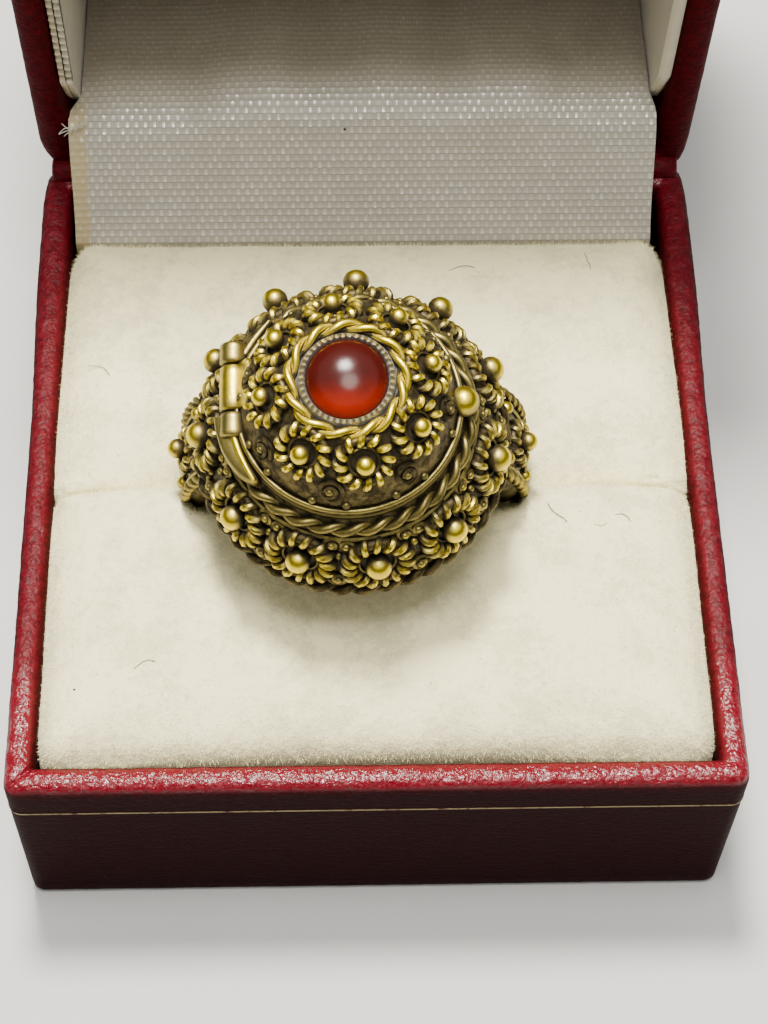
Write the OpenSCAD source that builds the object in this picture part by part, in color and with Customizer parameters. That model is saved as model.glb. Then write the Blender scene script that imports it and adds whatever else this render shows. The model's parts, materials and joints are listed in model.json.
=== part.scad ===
// Filigree poison ring with a hinged dome, held in the cushion of an open ring box.
// The origin is the centre of the box's underside, +Z is up and the box opens towards -Y.

/* [Ring box] */
// Outer width of the box
box_w = 52; // [50:0.5:56]
// Outer depth of the box, front to back
box_d = 55.5; // [54:0.5:60]
// Height of the box base, floor to rim
base_h = 18.25; // [17.5:0.25:22]
// Height of the lid, measured with the box closed
lid_h = 37; // [37:0.5:42]
// Thickness of the covered board walls
wall_t = 2.1; // [1.6:0.1:2.4]
// Thickness of the floor board and of the lid's top board
board_t = 1.8; // [1.4:0.1:2.2]
// Angle that the lid stands open, away from closed
lid_open = 85; // [70:1:95]
// Radius of the lid's side walls at the hinge corner
lid_corner_r = 1; // [0.5:0.25:4]

/* [Cushion] */
// How far the cushion stands above the rim
cushion_rise = 0.9; // [0:0.1:1.5]
// Rounding of the cushion's edges
cushion_edge_r = 2.2; // [1:0.1:3]
// Depth of the band behind the cushion that covers the hinge
hinge_band = 5.1; // [4.5:0.1:6]
// Place of the slot, front to back
slot_y = -3.4; // [-5:0.1:0]
// Width of the slot where no ring fills it
slot_w = 0.6; // [0.4:0.1:1]

/* [Ring] */
// Inner radius of the shank
finger_r = 9.2; // [9:0.1:9.4]
// Thickness of the plain band of the shank
shank_t = 1.2; // [1:0.1:1.5]
// Width of the shank at its bottom
shank_w = 4.2; // [3.5:0.1:5]
// Width of the shank under the dome
shoulder_w = 9.4; // [8:0.1:10]
// Lean of the ring in the slot, towards the front
ring_lean = 15; // [12:1:18]
// Lean of the ring along the slot
ring_side = -1.7; // [-2:0.1:2]
// Sideways place of the ring in the slot
ring_x = -1.3; // [-2:0.1:2]
// Height of the finger hole's centre over the rim
finger_rise = 1.1; // [0.8:0.1:1.5]

/* [Dome] */
// Radius of the cup's foot
foot_r = 10.5; // [10.3:0.1:10.8]
// Radius of the cup's mouth and of the lid's rim
mouth_r = 7.6; // [7.5:0.1:7.8]
// Radius of the lid's round dome
dome_r = 7.5; // [7.3:0.1:7.6]
// Radius of the stone
stone_r = 2.7; // [2.5:0.1:2.8]
// Rosettes around the cup
cup_rosettes = 11; // [9:1:11]
// Rosettes around the lid
lid_rosettes = 8; // [6:1:8]
// Turns of coiled wire in each rosette
coil_turns = 11; // [9:1:12]

/* [Hidden] */
$fn = 48;

// Inside faces of the box base, its rim and the hinge line of its lid
in_x = box_w / 2 - wall_t;
in_front = -box_d / 2 + wall_t;
in_back = box_d / 2 - wall_t;
hinge_y = box_d / 2;
lid_gap = 0.25;
soft_gap = 0.3;
case_edge_r = 1;

// Hinge of the box lid
case_knuckle_r = 1.2;
case_pin_r = 0.6;
case_knuckle_end = 22;
case_knuckle_split = 12;
split_gap = 0.3;
run_fit = 0.05;
press_fit = 0.01;

// Linings of the lid
side_lining_t = 1;
satin_top_t = 1.2;
satin_back_t = 4.2;

// Cushion and the pocket that takes the shank
cushion_back = in_back - hinge_band;
slot_depth = 9;
slot_lip_r = 0.9;
pocket_half_x = 13.1;
pocket_half_w = 3.75;
pocket_depth = 11.4;
pocket_top = 6;

// Shank and shoulders, in the ring's own frame: origin at the finger hole's centre,
// X across the shoulders, Y along the finger hole and Z up through the dome
shank_r = finger_r + shank_t;
wing_r = 12.3;
wing_z = 1;
wing_low = -3;
wing_w = 6.6;
wire_r = 0.42;
wire_low = -17;
wire_high = 42;
wire_ys = [-2.6, -1.3, 0, 1.3, 2.6];
bead_r = 0.7;
bead_angle = 3;
shoulder_angle = 17;

// Cup, from its foot to its mouth
foot_z = finger_r + 0.2;
floor_z = foot_z + 0.8;
foot_top = foot_z + 0.9;
mouth_z = 16.1;
cup_top_r = 8.5;
cup_top_z = 14.9;
cup_wall = 0.9;
inner_mouth_r = 6.8;
foot_rope_r = 0.55;
mouth_rope_r = 0.5;

// Rosettes: radius and height of the coil's centre, tilt of its face from the dome's
// axis, radius of the coil's ring, radius of its turns, radius of its granule, first angle
cup_set = [9.75, 12.5, 72, 1.75, 0.55, 0.9, 86];
lid_set = [5.32, 20.97, 45, 1.25, 0.44, 0.65, 101];
shoulder_set = [wing_r + 0.2, 0, 90, 1.25, 0.42, 0.72, 0];

// Lid of the ring
dome_z = 15.6;
dome_wall = 0.8;
rim_z = 16.35;
rim_h = 0.95;
collar_r = 3.75;
collar_z = 21.2;
bezel_t = 0.3;
bezel_top = 22.35;
seat_z = 21.5;
stone_rope_r = 0.42;
stone_rope_z = 22.2;
stone_top = 23.4;
thumb_r = 1.05;
thumb_rise = 1.05;

// Hinge of the ring's lid
axis_x = -7.75;
axis_z = 16.75;
knuckle_r = 0.95;
pin_r = 0.4;
knuckle_end = 5.1;
knuckle_split = 1.75;
knuckle_gap = 0.15;

module rounded_plate(w, d, r) {
    square([w - 2 * r, d], center = true);
    square([w, d - 2 * r], center = true);
    for (x = [-1, 1], y = [-1, 1])
        translate([x * (w / 2 - r), y * (d / 2 - r)]) circle(r);
}

// A rod along X between two places
module rod_x(x1, x2, r) {
    translate([x1, 0, 0]) rotate([0, 90, 0]) cylinder(h = x2 - x1, r = r);
}

// A rod along Y between two places
module rod_y(y1, y2, r) {
    translate([0, y1, 0]) rotate([-90, 0, 0]) cylinder(h = y2 - y1, r = r);
}

// Rods at both sides of a middle one, used for the outer knuckles
module rod_pair_x(x1, x2, r) {
    rod_x(x1, x2, r);
    rod_x(-x2, -x1, r);
}

module rod_pair_y(y1, y2, r) {
    rod_y(y1, y2, r);
    rod_y(-y2, -y1, r);
}

module at_case_hinge() {
    translate([0, hinge_y, base_h]) children();
}

// Stands the lid open about the hinge line
module opened() {
    translate([0, hinge_y, base_h]) rotate([-lid_open, 0, 0]) translate([0, -hinge_y, -base_h]) children();
}

// Carries the ring's own frame into the cushion
module in_slot() {
    translate([ring_x, slot_y, base_h + finger_rise]) rotate([ring_lean, 0, 0]) rotate([0, ring_side, 0])
        children();
}

module case_base() {
    color("firebrick") difference() {
        union() {
            difference() {
                linear_extrude(base_h) rounded_plate(box_w, box_d, case_edge_r);
                translate([-in_x, in_front, board_t])
                    cube([2 * in_x, in_back - in_front, base_h]);
            }
            at_case_hinge() rod_pair_x(case_knuckle_split, case_knuckle_end, case_knuckle_r);
        }
        at_case_hinge() rod_x(-case_knuckle_split, case_knuckle_split, case_knuckle_r + lid_gap);
        at_case_hinge() rod_x(-case_knuckle_end - 1, case_knuckle_end + 1, case_pin_r + press_fit);
    }
}

// Corner of the lid's side walls that is rounded off beside the hinge
module hinge_corner_cut() {
    difference() {
        translate([0, hinge_y - lid_corner_r, base_h - 1])
            cube([wall_t + 2, lid_corner_r + 1, lid_corner_r + 1 + lid_gap]);
        translate([-1, hinge_y - lid_corner_r, base_h + lid_gap + lid_corner_r])
            rod_x(0, wall_t + 4, lid_corner_r);
    }
}

module case_lid() {
    inner_end = case_knuckle_split - split_gap;
    color("firebrick") opened() difference() {
        union() {
            translate([0, 0, base_h + lid_gap]) difference() {
                linear_extrude(lid_h - lid_gap) rounded_plate(box_w, box_d, case_edge_r);
                translate([-in_x, in_front, -1])
                    cube([2 * in_x, in_back - in_front, lid_h - lid_gap - board_t + 1]);
            }
            at_case_hinge() rod_x(-inner_end, inner_end, case_knuckle_r);
        }
        at_case_hinge() rod_pair_x(inner_end, case_knuckle_end + split_gap, case_knuckle_r + lid_gap);
        at_case_hinge() rod_x(-inner_end - 1, inner_end + 1, case_pin_r + run_fit);
        translate([in_x - 0.5, 0, 0]) hinge_corner_cut();
        mirror([1, 0, 0]) translate([in_x - 0.5, 0, 0]) hinge_corner_cut();
    }
}

module case_hinge_pin() {
    color("silver") at_case_hinge() rod_x(-case_knuckle_end, case_knuckle_end, case_pin_r);
}

// Card lining of the lid's side walls and front wall
module lid_lining() {
    low = base_h + lid_gap + 0.4;
    top = base_h + lid_h - board_t - soft_gap / 3;
    edge = 0.05;
    color("ivory") opened() difference() {
        translate([-in_x + edge, in_front + edge, low])
            cube([2 * (in_x - edge), in_back - in_front - satin_back_t - edge - 0.2, top - low]);
        translate([-in_x + side_lining_t, in_front + side_lining_t, low - 1])
            cube([2 * (in_x - side_lining_t), box_d, lid_h]);
    }
}

// Satin pad that covers the lid's back wall and its top
module lid_satin() {
    low = base_h + lid_gap + 0.4;
    top = base_h + lid_h - board_t - 0.05;
    half_x = in_x - side_lining_t - 0.1;
    front = in_front + side_lining_t + 0.1;
    back = in_back - 0.05;
    color("wheat") opened() {
        translate([-half_x, back - satin_back_t, low])
            cube([2 * half_x, satin_back_t, top - low]);
        translate([-half_x, front, top - satin_top_t])
            cube([2 * half_x, back - front, satin_top_t]);
    }
}

// Front to back section of the cushion, with its slot
module cushion_section(top) {
    r = cushion_edge_r;
    lip = slot_w / 2 + slot_lip_r;
    front = in_front + 0.1;
    low = board_t + 0.05;
    long = cushion_back - front;
    difference() {
        union() {
            translate([front, low]) square([long, top - r - board_t]);
            translate([front + r, low]) square([long - 2 * r, top - low]);
            translate([front + r, top - r]) circle(r);
            translate([cushion_back - r, top - r]) circle(r);
        }
        translate([slot_y - slot_w / 2, top - slot_depth]) square([slot_w, slot_depth + 1]);
        difference() {
            translate([slot_y - lip, top - slot_lip_r]) square([2 * lip, 2]);
            translate([slot_y - lip, top - slot_lip_r]) circle(slot_lip_r);
            translate([slot_y + lip, top - slot_lip_r]) circle(slot_lip_r);
        }
    }
}

// Left to right section of the cushion
module cushion_front_view(top) {
    r = cushion_edge_r;
    half_x = in_x - 0.1;
    translate([-half_x, 0]) square([2 * half_x, top - r]);
    translate([-half_x + r, 0]) square([2 * (half_x - r), top]);
    for (x = [-1, 1])
        translate([x * (half_x - r), top - r]) circle(r);
}

module cushion() {
    top = base_h + cushion_rise;
    color("linen") difference() {
        intersection() {
            rotate([90, 0, 90]) linear_extrude(box_w, center = true) cushion_section(top);
            rotate([90, 0, 0]) linear_extrude(2 * box_d, center = true) cushion_front_view(top);
        }
        in_slot() translate([-pocket_half_x, -pocket_half_w, -pocket_depth])
            cube([2 * pocket_half_x, 2 * pocket_half_w, pocket_depth + pocket_top]);
    }
}

// Satin band between the cushion and the back wall, over the hinge
module hinge_cover() {
    color("wheat") translate([-in_x + 0.1, cushion_back + soft_gap, board_t + 0.05])
        cube([2 * (in_x - 0.1), hinge_band - soft_gap - 0.1, base_h - board_t]);
}

// A ring of coiled wire around a granule, with its face up
module rosette(set) {
    for (i = [0 : coil_turns - 1])
        rotate([0, 0, i * 360 / coil_turns]) translate([set[3], 0, 0]) sphere(set[4], $fn = 16);
    translate([0, 0, 0.15]) sphere(set[5], $fn = 24);
    translate([0, 0, set[5]]) sphere(set[5], $fn = 24);
    translate([0, 0, -set[4]]) cylinder(h = set[4], r = set[3] + set[4] * 0.6);
}

// A circle of rosettes around the dome's axis
module rosette_circle(set, count) {
    for (i = [0 : count - 1])
        rotate([0, 0, set[6] - i * 360 / count]) translate([set[0], 0, set[1]]) rotate([0, set[2], 0])
            rosette(set);
}

module rope_ring(r, z, wire) {
    translate([0, 0, z]) rotate_extrude() translate([r, 0]) circle(wire, $fn = 24);
}

// Band of the shank, wide at the shoulders and narrow at the bottom
module shank_band() {
    low = -shank_r - 1;
    intersection() {
        rotate([90, 0, 0]) difference() {
            cylinder(h = 20, r = shank_r, center = true);
            cylinder(h = 22, r = finger_r, center = true);
        }
        rotate([90, 0, 90]) linear_extrude(30, center = true)
            polygon([[-shank_w / 2, low], [shank_w / 2, low], [shank_w / 2, -7], [wing_w / 2, 0],
                [shoulder_w / 2, 6], [shoulder_w / 2, foot_z + 0.4], [-shoulder_w / 2, foot_z + 0.4],
                [-shoulder_w / 2, 6], [-wing_w / 2, 0], [-shank_w / 2, -7]]);
    }
}

// Wings that stand off the band on both shoulders and carry the wires and a rosette
module shoulder_wings() {
    intersection() {
        difference() {
            translate([0, 0, wing_z]) rotate([90, 0, 0]) cylinder(h = wing_w, r = wing_r, center = true);
            rotate([90, 0, 0]) cylinder(h = 22, r = finger_r, center = true);
        }
        for (x = [-1, 1])
            translate([x * 11 - 5, -5, wing_low]) cube([10, 10, foot_z + 0.4 - wing_low]);
    }
}

// Wires that run side by side over one wing and end in beads at its lower edge
module shoulder_wires() {
    translate([0, 0, wing_z]) {
        for (y = wire_ys)
            rotate([90, 0, 0]) translate([0, 0, -y]) rotate([0, 0, wire_low])
                rotate_extrude(angle = wire_high - wire_low)
                    translate([wing_r + 0.1, 0]) circle(wire_r, $fn = 16);
        for (y = wire_ys)
            rotate([0, -wire_low, 0]) translate([wing_r + 0.1, y, 0]) sphere(wire_r, $fn = 16);
        rotate([0, -shoulder_angle, 0]) translate([shoulder_set[0], 0, 0]) rotate([0, 90, 0])
            rosette(shoulder_set);
        for (y = [-1, 1])
            rotate([0, -bead_angle, 0]) translate([wing_r + 0.3, y * 1.95, 0]) sphere(bead_r, $fn = 20);
    }
}

module shoulders() {
    shoulder_wings();
    shoulder_wires();
    mirror([1, 0, 0]) shoulder_wires();
}

module cup_shell() {
    rotate_extrude() polygon([[0, foot_z], [foot_r, foot_z], [foot_r, foot_top], [cup_top_r, cup_top_z],
        [mouth_r + 0.1, mouth_z], [inner_mouth_r, mouth_z], [inner_mouth_r, cup_top_z],
        [cup_top_r - cup_wall, cup_top_z - 0.6], [foot_r - 1.3, floor_z], [0, floor_z]]);
}

module at_ring_hinge() {
    translate([axis_x, 0, axis_z]) children();
}

// Block under each outer knuckle, soldered to the cup's mouth
module knuckle_feet() {
    low = cup_top_z - 0.5;
    for (y = [knuckle_split, -knuckle_end])
        translate([axis_x - knuckle_r, y, low])
            cube([2 * knuckle_r, knuckle_end - knuckle_split, axis_z - low]);
}

module ring_body() {
    color("darkgoldenrod") in_slot() difference() {
        union() {
            shank_band();
            shoulders();
            cup_shell();
            rope_ring(foot_r + 0.1, foot_z + 0.35, foot_rope_r);
            rope_ring(mouth_r + 0.55, mouth_z - 0.65, mouth_rope_r);
            rosette_circle(cup_set, cup_rosettes);
            knuckle_feet();
            at_ring_hinge() rod_pair_y(knuckle_split, knuckle_end, knuckle_r);
        }
        at_ring_hinge() rod_y(-knuckle_split, knuckle_split, knuckle_r + knuckle_gap);
        at_ring_hinge() rod_y(-knuckle_end - 1, knuckle_end + 1, pin_r + press_fit);
        rotate([90, 0, 0]) cylinder(h = 30, r = finger_r, center = true);
        translate([0, 0, floor_z]) cylinder(h = mouth_z, r = inner_mouth_r - 0.4);
    }
}

module dome_shell() {
    difference() {
        translate([0, 0, dome_z]) sphere(dome_r, $fn = 64);
        translate([0, 0, dome_z]) sphere(dome_r - dome_wall, $fn = 64);
        translate([0, 0, rim_z - 20]) cylinder(h = 20, r = 20);
        translate([0, 0, seat_z]) cylinder(h = 10, r = collar_r - 0.4);
    }
    translate([0, 0, rim_z]) difference() {
        cylinder(h = rim_h, r = mouth_r);
        translate([0, 0, -1]) cylinder(h = rim_h + 2, r = dome_r - dome_wall);
    }
}

module bezel() {
    rotate_extrude() polygon([[0, collar_z], [collar_r, collar_z], [collar_r, seat_z + 0.4],
        [stone_r + bezel_t + 0.05, seat_z + 0.4], [stone_r + bezel_t + 0.05, bezel_top],
        [stone_r + 0.05, bezel_top], [stone_r + 0.05, seat_z], [0, seat_z]]);
}

module ring_lid() {
    color("goldenrod") in_slot() difference() {
        union() {
            dome_shell();
            bezel();
            rope_ring(stone_r + bezel_t + 0.38, stone_rope_z, stone_rope_r);
            rosette_circle(lid_set, lid_rosettes);
            translate([mouth_r, 0, rim_z + thumb_rise]) sphere(thumb_r, $fn = 24);
            at_ring_hinge() rod_y(-knuckle_split + knuckle_gap, knuckle_split - knuckle_gap, knuckle_r);
            at_ring_hinge() translate([0, -knuckle_split + knuckle_gap, -knuckle_r / 2])
                cube([1.2, 2 * (knuckle_split - knuckle_gap), knuckle_r]);
        }
        at_ring_hinge() rod_pair_y(knuckle_split - knuckle_gap, knuckle_end + 0.3, knuckle_r + knuckle_gap);
        at_ring_hinge() rod_y(-knuckle_split - 1, knuckle_split + 1, pin_r + run_fit);
    }
}

module ring_hinge_pin() {
    color("gold") in_slot() at_ring_hinge() rod_y(-knuckle_end - 0.1, knuckle_end + 0.1, pin_r);
}

module cabochon() {
    belly = 3.05;
    color("firebrick") in_slot() intersection() {
        translate([0, 0, seat_z + 0.03]) cylinder(h = 4, r = stone_r);
        translate([0, 0, stone_top - belly]) sphere(belly, $fn = 64);
    }
}

case_base();
case_lid();
case_hinge_pin();
cushion();
hinge_cover();
lid_lining();
lid_satin();
ring_body();
ring_lid();
ring_hinge_pin();
cabochon();
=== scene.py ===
import json
import math
from functools import partial
from types import SimpleNamespace

import bmesh
import bpy
import numpy as np
from bpy.props import FloatProperty, FloatVectorProperty, IntProperty, PointerProperty
from mathutils import Matrix, Vector, noise


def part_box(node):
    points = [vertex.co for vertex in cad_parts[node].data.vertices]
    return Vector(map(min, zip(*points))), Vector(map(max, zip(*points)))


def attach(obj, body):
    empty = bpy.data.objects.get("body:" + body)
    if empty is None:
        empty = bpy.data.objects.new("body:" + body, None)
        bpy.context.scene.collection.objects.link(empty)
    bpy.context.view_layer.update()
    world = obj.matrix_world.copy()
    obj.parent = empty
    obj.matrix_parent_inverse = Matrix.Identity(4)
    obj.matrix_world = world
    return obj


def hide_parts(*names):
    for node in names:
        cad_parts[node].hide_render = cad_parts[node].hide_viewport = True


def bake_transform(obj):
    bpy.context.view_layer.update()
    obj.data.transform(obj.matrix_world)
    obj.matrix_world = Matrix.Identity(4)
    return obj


bl_info = {
    "name": "Poison ring in a ring box",
    "version": (1, 0, 0),
    "blender": (4, 5, 0),
    "location": "3D View > Sidebar > Ring",
    "description": "Makes the filigree, the stone and the covered box around the packed frame",
    "category": "Object",
}

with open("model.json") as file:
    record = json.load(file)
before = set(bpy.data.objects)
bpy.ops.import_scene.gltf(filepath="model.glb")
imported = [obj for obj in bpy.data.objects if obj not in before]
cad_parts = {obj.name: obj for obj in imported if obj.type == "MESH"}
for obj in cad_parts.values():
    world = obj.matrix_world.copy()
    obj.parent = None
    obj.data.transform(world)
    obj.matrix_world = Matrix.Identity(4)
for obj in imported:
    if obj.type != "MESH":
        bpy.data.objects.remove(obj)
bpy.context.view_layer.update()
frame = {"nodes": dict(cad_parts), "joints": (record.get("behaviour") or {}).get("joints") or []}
MM = 0.001
SEED = 20


# Sizes and colours that a user would change


def length(label, millimetres, text):
    """A size that is given in millimetres and kept in metres."""
    return FloatProperty(name=label, description=text, default=millimetres * MM, min=0.0,
                         soft_max=0.1, precision=5, unit="LENGTH")


def colour(label, red, green, blue, text):
    """A colour, by its linear red, green and blue."""
    return FloatVectorProperty(name=label, description=text, default=(red, green, blue),
                               size=3, min=0.0, max=1.0, subtype="COLOR")


class FiligreeSizes(bpy.types.PropertyGroup):
    cup_turns: IntProperty(name="Cup turns", default=15, min=7, max=20,
                           description="Turns of wire around each granule of the cup")
    lid_turns: IntProperty(name="Lid turns", default=12, min=7, max=16,
                           description="Turns of wire around each granule of the lid")
    cup_coil: length("Cup coil", 1.98, "Radius of the coiled ring around a granule of the cup")
    cup_turn: length("Cup turn", 0.46, "Radius of one turn of the cup's coiled wire")
    cup_wire: length("Cup wire", 0.24, "Radius of the cup's coiled wire")
    cup_granule: length("Cup granule", 0.92, "Radius of the granules around the cup")
    lid_coil: length("Lid coil", 1.58, "Radius of the coiled ring around a granule of the lid")
    lid_turn: length("Lid turn", 0.33, "Radius of one turn of the lid's coiled wire")
    lid_wire: length("Lid wire", 0.235, "Radius of the lid's coiled wire")
    lid_granule: length("Lid granule", 0.66, "Radius of the granules around the lid")
    mouth_strand: length("Mouth strand", 0.3, "Radius of one strand of the rope at the mouth")
    foot_strand: length("Foot strand", 0.32, "Radius of one strand of the rope at the foot")
    stone_strand: length("Stone strand", 0.27, "Radius of one strand of the rope at the stone")
    scroll_wire: length("Scroll wire", 0.2, "Radius of the scrolls' wire")


class CaseSizes(bpy.types.PropertyGroup):
    wall: length("Wall", 2.1, "Thickness of the covered board")
    board: length("Board", 1.8, "Thickness of the floor and top boards")
    corner: length("Front corner", 1.0, "Radius of the front corners")
    back_corner_x: length("Back corner width", 0.5, "Sideways size of the soft back corners")
    back_corner_y: length("Back corner depth", 3.6, "Front to back size of the soft back corners")
    crinkle: length("Crinkle", 0.1, "Height of the crinkles on the rims")
    line_drop: length("Line drop", 3.7, "Distance of the tooled line below the rim")
    line_width: length("Line width", 0.11, "Width of the tooled line")


class ClothSizes(bpy.types.PropertyGroup):
    rise: length("Rise", 0.9, "How far the cushion stands above the rim")
    crown: length("Crown", 0.5, "How far the pads swell in their middles")
    edge: length("Edge", 2.1, "Rounding of the pads' outer edges")
    slot_depth: length("Slot depth", 6.0, "Depth of the open slot")
    nap: length("Nap", 0.42, "Length of the velvet's nap")
    fibres: IntProperty(name="Fibres", description="Count of the velvet's standing fibres",
                        default=32000, min=100, max=45000)
    weft: length("Weft", 0.54, "Distance of the satin's ribs")
    warp: length("Warp", 0.365, "Distance of the satin's warp threads")
    satin_lift: length("Pad height", 6.35, "Height of the satin pad in the lid above its hinge line")


class Finishes(bpy.types.PropertyGroup):
    gilt_bright: colour("Bright gilt", 0.83, 0.64, 0.035, "Gilding on the rubbed high points")
    gilt_mid: colour("Gilt", 0.35, 0.282, 0.078, "Gilding on the wires and ropes")
    tarnish: colour("Tarnish", 0.16, 0.125, 0.05, "Brown tarnish on the open faces")
    patina: colour("Patina", 0.028, 0.021, 0.01, "Dark tarnish in the recesses")
    worn_silver: colour("Worn silver", 0.5, 0.48, 0.44, "Silver where the gilding is rubbed off")
    # The carnelian's painted light: a dark top and a painted glow low in front
    stone_dark: colour("Stone top", 0.04, 0.004, 0.003, "Dark side of the carnelian")
    stone_painted_glow: colour("Stone glow", 0.245, 0.0115, 0.001, "Glowing side of the carnelian")
    leather: colour("Leatherette", 0.14, 0.001, 0.008, "Red of the covering")
    leather_dark: colour("Leatherette grain", 0.055, 0.001, 0.004, "Red in the grain")
    # Painted shade: the near-black red that the covering's low-worn faces are painted
    leather_painted_face_shade: colour("Leatherette face", 0.011, 0.0004, 0.0009, "Deep red of the box's faces")
    gold_line: colour("Tooled line", 0.22, 0.17, 0.08, "Dull gold of the tooled line")
    velvet: colour("Velvet", 0.96, 0.895, 0.53, "Cream of the cushion")
    satin: colour("Satin", 0.37, 0.345, 0.285, "Cream of the satin")
    satin_aged: colour("Aged satin", 0.40, 0.32, 0.14, "Yellow of the satin's edge")
    card: colour("Card", 0.56, 0.53, 0.45, "Cream of the lid's lining")
    steel: colour("Steel", 0.45, 0.45, 0.46, "Steel of the hinge pin")
    floor: colour("Floor", 0.62, 0.62, 0.62, "Pale floor of the stage")


class StudioLight(bpy.types.PropertyGroup):
    key: FloatProperty(name="Key", description="Power of the light above and behind, in watts",
                       default=2.85, min=0.0)
    lamp: FloatProperty(name="Lamp", description="Power of the small light above the front, in watts",
                        default=0.78, min=0.0)
    ceiling: FloatProperty(name="Ceiling", description="Power of the wide light overhead, in watts",
                           default=4.2, min=0.0)
    room: FloatProperty(name="Room", description="Strength of the even light all round",
                        default=0.08, min=0.0)


def sizes_of(group):
    """The group's sizes in millimetres, and its other values as they are, by name."""
    values = {}
    for name in group.__annotations__:
        is_length = group.bl_rna.properties[name].unit == "LENGTH"
        values[name] = getattr(group, name) / MM if is_length else getattr(group, name)
    return SimpleNamespace(**values)


# Places of the box and of the ring, from the frame


def joint_named(name):
    return next(joint for joint in frame["joints"] if joint["name"] == name)


BASE_LOW, BASE_HIGH = (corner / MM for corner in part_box("case_base"))
HINGE = Vector(joint_named("case_lid_hinge")["pos_m"]) / MM
HALF_WIDTH = BASE_HIGH.x
FRONT_Y = BASE_LOW.y
BACK_Y = HINGE.y
RIM_Z = HINGE.z
LID_OPEN = -math.radians(joint_named("case_lid_hinge")["range_deg"][0])
LID_GAP = 0.25

# The ring's own frame has its origin at the finger hole's centre, with X across the
# shoulders, Y along the finger hole and Z up through the dome
RING_LEAN = math.radians(15)
RING_SIDE = math.radians(-1.7)
RING_PLACE = Vector((-1.3, -3.4, RIM_Z + 1.1))
RING_HINGE = Vector((-7.75, 0, 16.75))
FINGER_R = 9.2
BAND_R = 10.4
WING_R = 12.3
WING_RISE = 1.0
WING_SHIFT = 1.25
FOOT_R = 10.5
FOOT_Z = 9.4
MOUTH_R = 7.6
MOUTH_Z = 16.1
DOME_R = 7.5
DOME_Z = 15.6
DOME_WALL = 0.8
BEZEL_R = 3.4
RIM_BAND_Z = 16.35
RIM_BAND_TOP = 17.3
COLLAR_R = 3.75
COLLAR_Z = 21.2
SEAT_Z = 21.5
STONE_R = 2.7
STONE_GIRDLE = 0.75
STONE_TOP = 23.4
STONE_MIDDLE = STONE_TOP - 1.2


def ring_matrix():
    """From the ring as it is modelled to the ring as it leans in the slot."""
    turn = Matrix.Rotation(RING_LEAN, 4, "X") @ Matrix.Rotation(RING_SIDE, 4, "Y")
    matrix = Matrix.Translation(RING_PLACE) @ turn
    pivot = Vector(joint_named("ring_lid_hinge")["pos_m"]) / MM
    if (matrix @ RING_HINGE - pivot).length > 0.05:
        raise RuntimeError("the ring's hinge isn't where the frame's joint is")
    return matrix


def opened_matrix():
    """From the closed lid to the lid as it stands open."""
    turn = Matrix.Rotation(-LID_OPEN, 4, "X")
    return Matrix.Translation(HINGE) @ turn @ Matrix.Translation(-HINGE)


def matrix_to(place, turn_z=0.0, tilt=0.0):
    """Moves a part that is made flat round the origin to its place on the ring."""
    turn = Matrix.Rotation(turn_z, 4, "Z")
    return turn @ Matrix.Translation(Vector(place)) @ Matrix.Rotation(tilt, 4, "Y")


# Forms: points and faces in millimetres


# A wire's rounded ends: degrees off the wire's side, and the share of its radius at the tip
END_BENDS = (90, 60, 35, 15)
TIP_SHARE = 0.04
# How far a rope's strands lie from its middle, as a share of their radius
STRAND_LAY = 0.92
# Points that are closer are welded, in millimetres, and shorter edges dissolve, in metres
WELD_REACH = 0.001
SLIVER = 1e-8


class Form:
    """Points and faces of a piece, with a value of wear and painted shade and a place on the cloth
    for each point.
    """

    def __init__(self):
        self.points, self.wear, self.place = [], [], []
        self.quads, self.triangles = [], []
        self.count = 0

    def add(self, points, quads=(), triangles=(), wear=0.0, place=None):
        points = np.asarray(points, float).reshape(-1, 3)
        number = len(points)
        self.points.append(points)
        self.wear.append(np.broadcast_to(np.asarray(wear, float), (number,)).copy())
        self.place.append(np.zeros((number, 2)) if place is None else np.asarray(place, float))
        if len(quads):
            self.quads.append(np.asarray(quads, int).reshape(-1, 4) + self.count)
        if len(triangles):
            self.triangles.append(np.asarray(triangles, int).reshape(-1, 3) + self.count)
        self.count += number

    def join(self, other, matrix=None):
        """Adds a copy of another form, moved by a matrix."""
        points = np.concatenate(other.points)
        if matrix is not None:
            points = moved(points, matrix)
        start = self.count
        self.add(points, wear=np.concatenate(other.wear), place=np.concatenate(other.place))
        self.quads += [faces + start for faces in other.quads]
        self.triangles += [faces + start for faces in other.triangles]


def moved(points, matrix):
    turn = np.array(matrix.to_3x3())
    return points @ turn.T + np.array(matrix.translation)


def grid(rows, columns, wrap_rows=False, wrap_columns=False):
    """Four-cornered faces of a net of rows and columns, which may close on itself."""
    i = np.arange(rows if wrap_rows else rows - 1)[:, None]
    j = np.arange(columns if wrap_columns else columns - 1)[None, :]
    next_i, next_j = (i + 1) % rows, (j + 1) % columns
    corners = np.broadcast_arrays(i * columns + j, i * columns + next_j,
                                  next_i * columns + next_j, next_i * columns + j)
    return np.stack(corners, -1).reshape(-1, 4)


def fan(rim, centre):
    """Triangles from a closed row of points to one point."""
    rim = np.asarray(rim)
    return np.stack([rim, np.roll(rim, -1), np.full(len(rim), centre)], -1)


def unit(vectors):
    return vectors / np.maximum(np.linalg.norm(vectors, axis=-1, keepdims=True), 1e-9)


def smooth_step(value, low, high):
    t = np.clip((value - low) / (high - low), 0, 1)
    return t * t * (3 - 2 * t)


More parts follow.
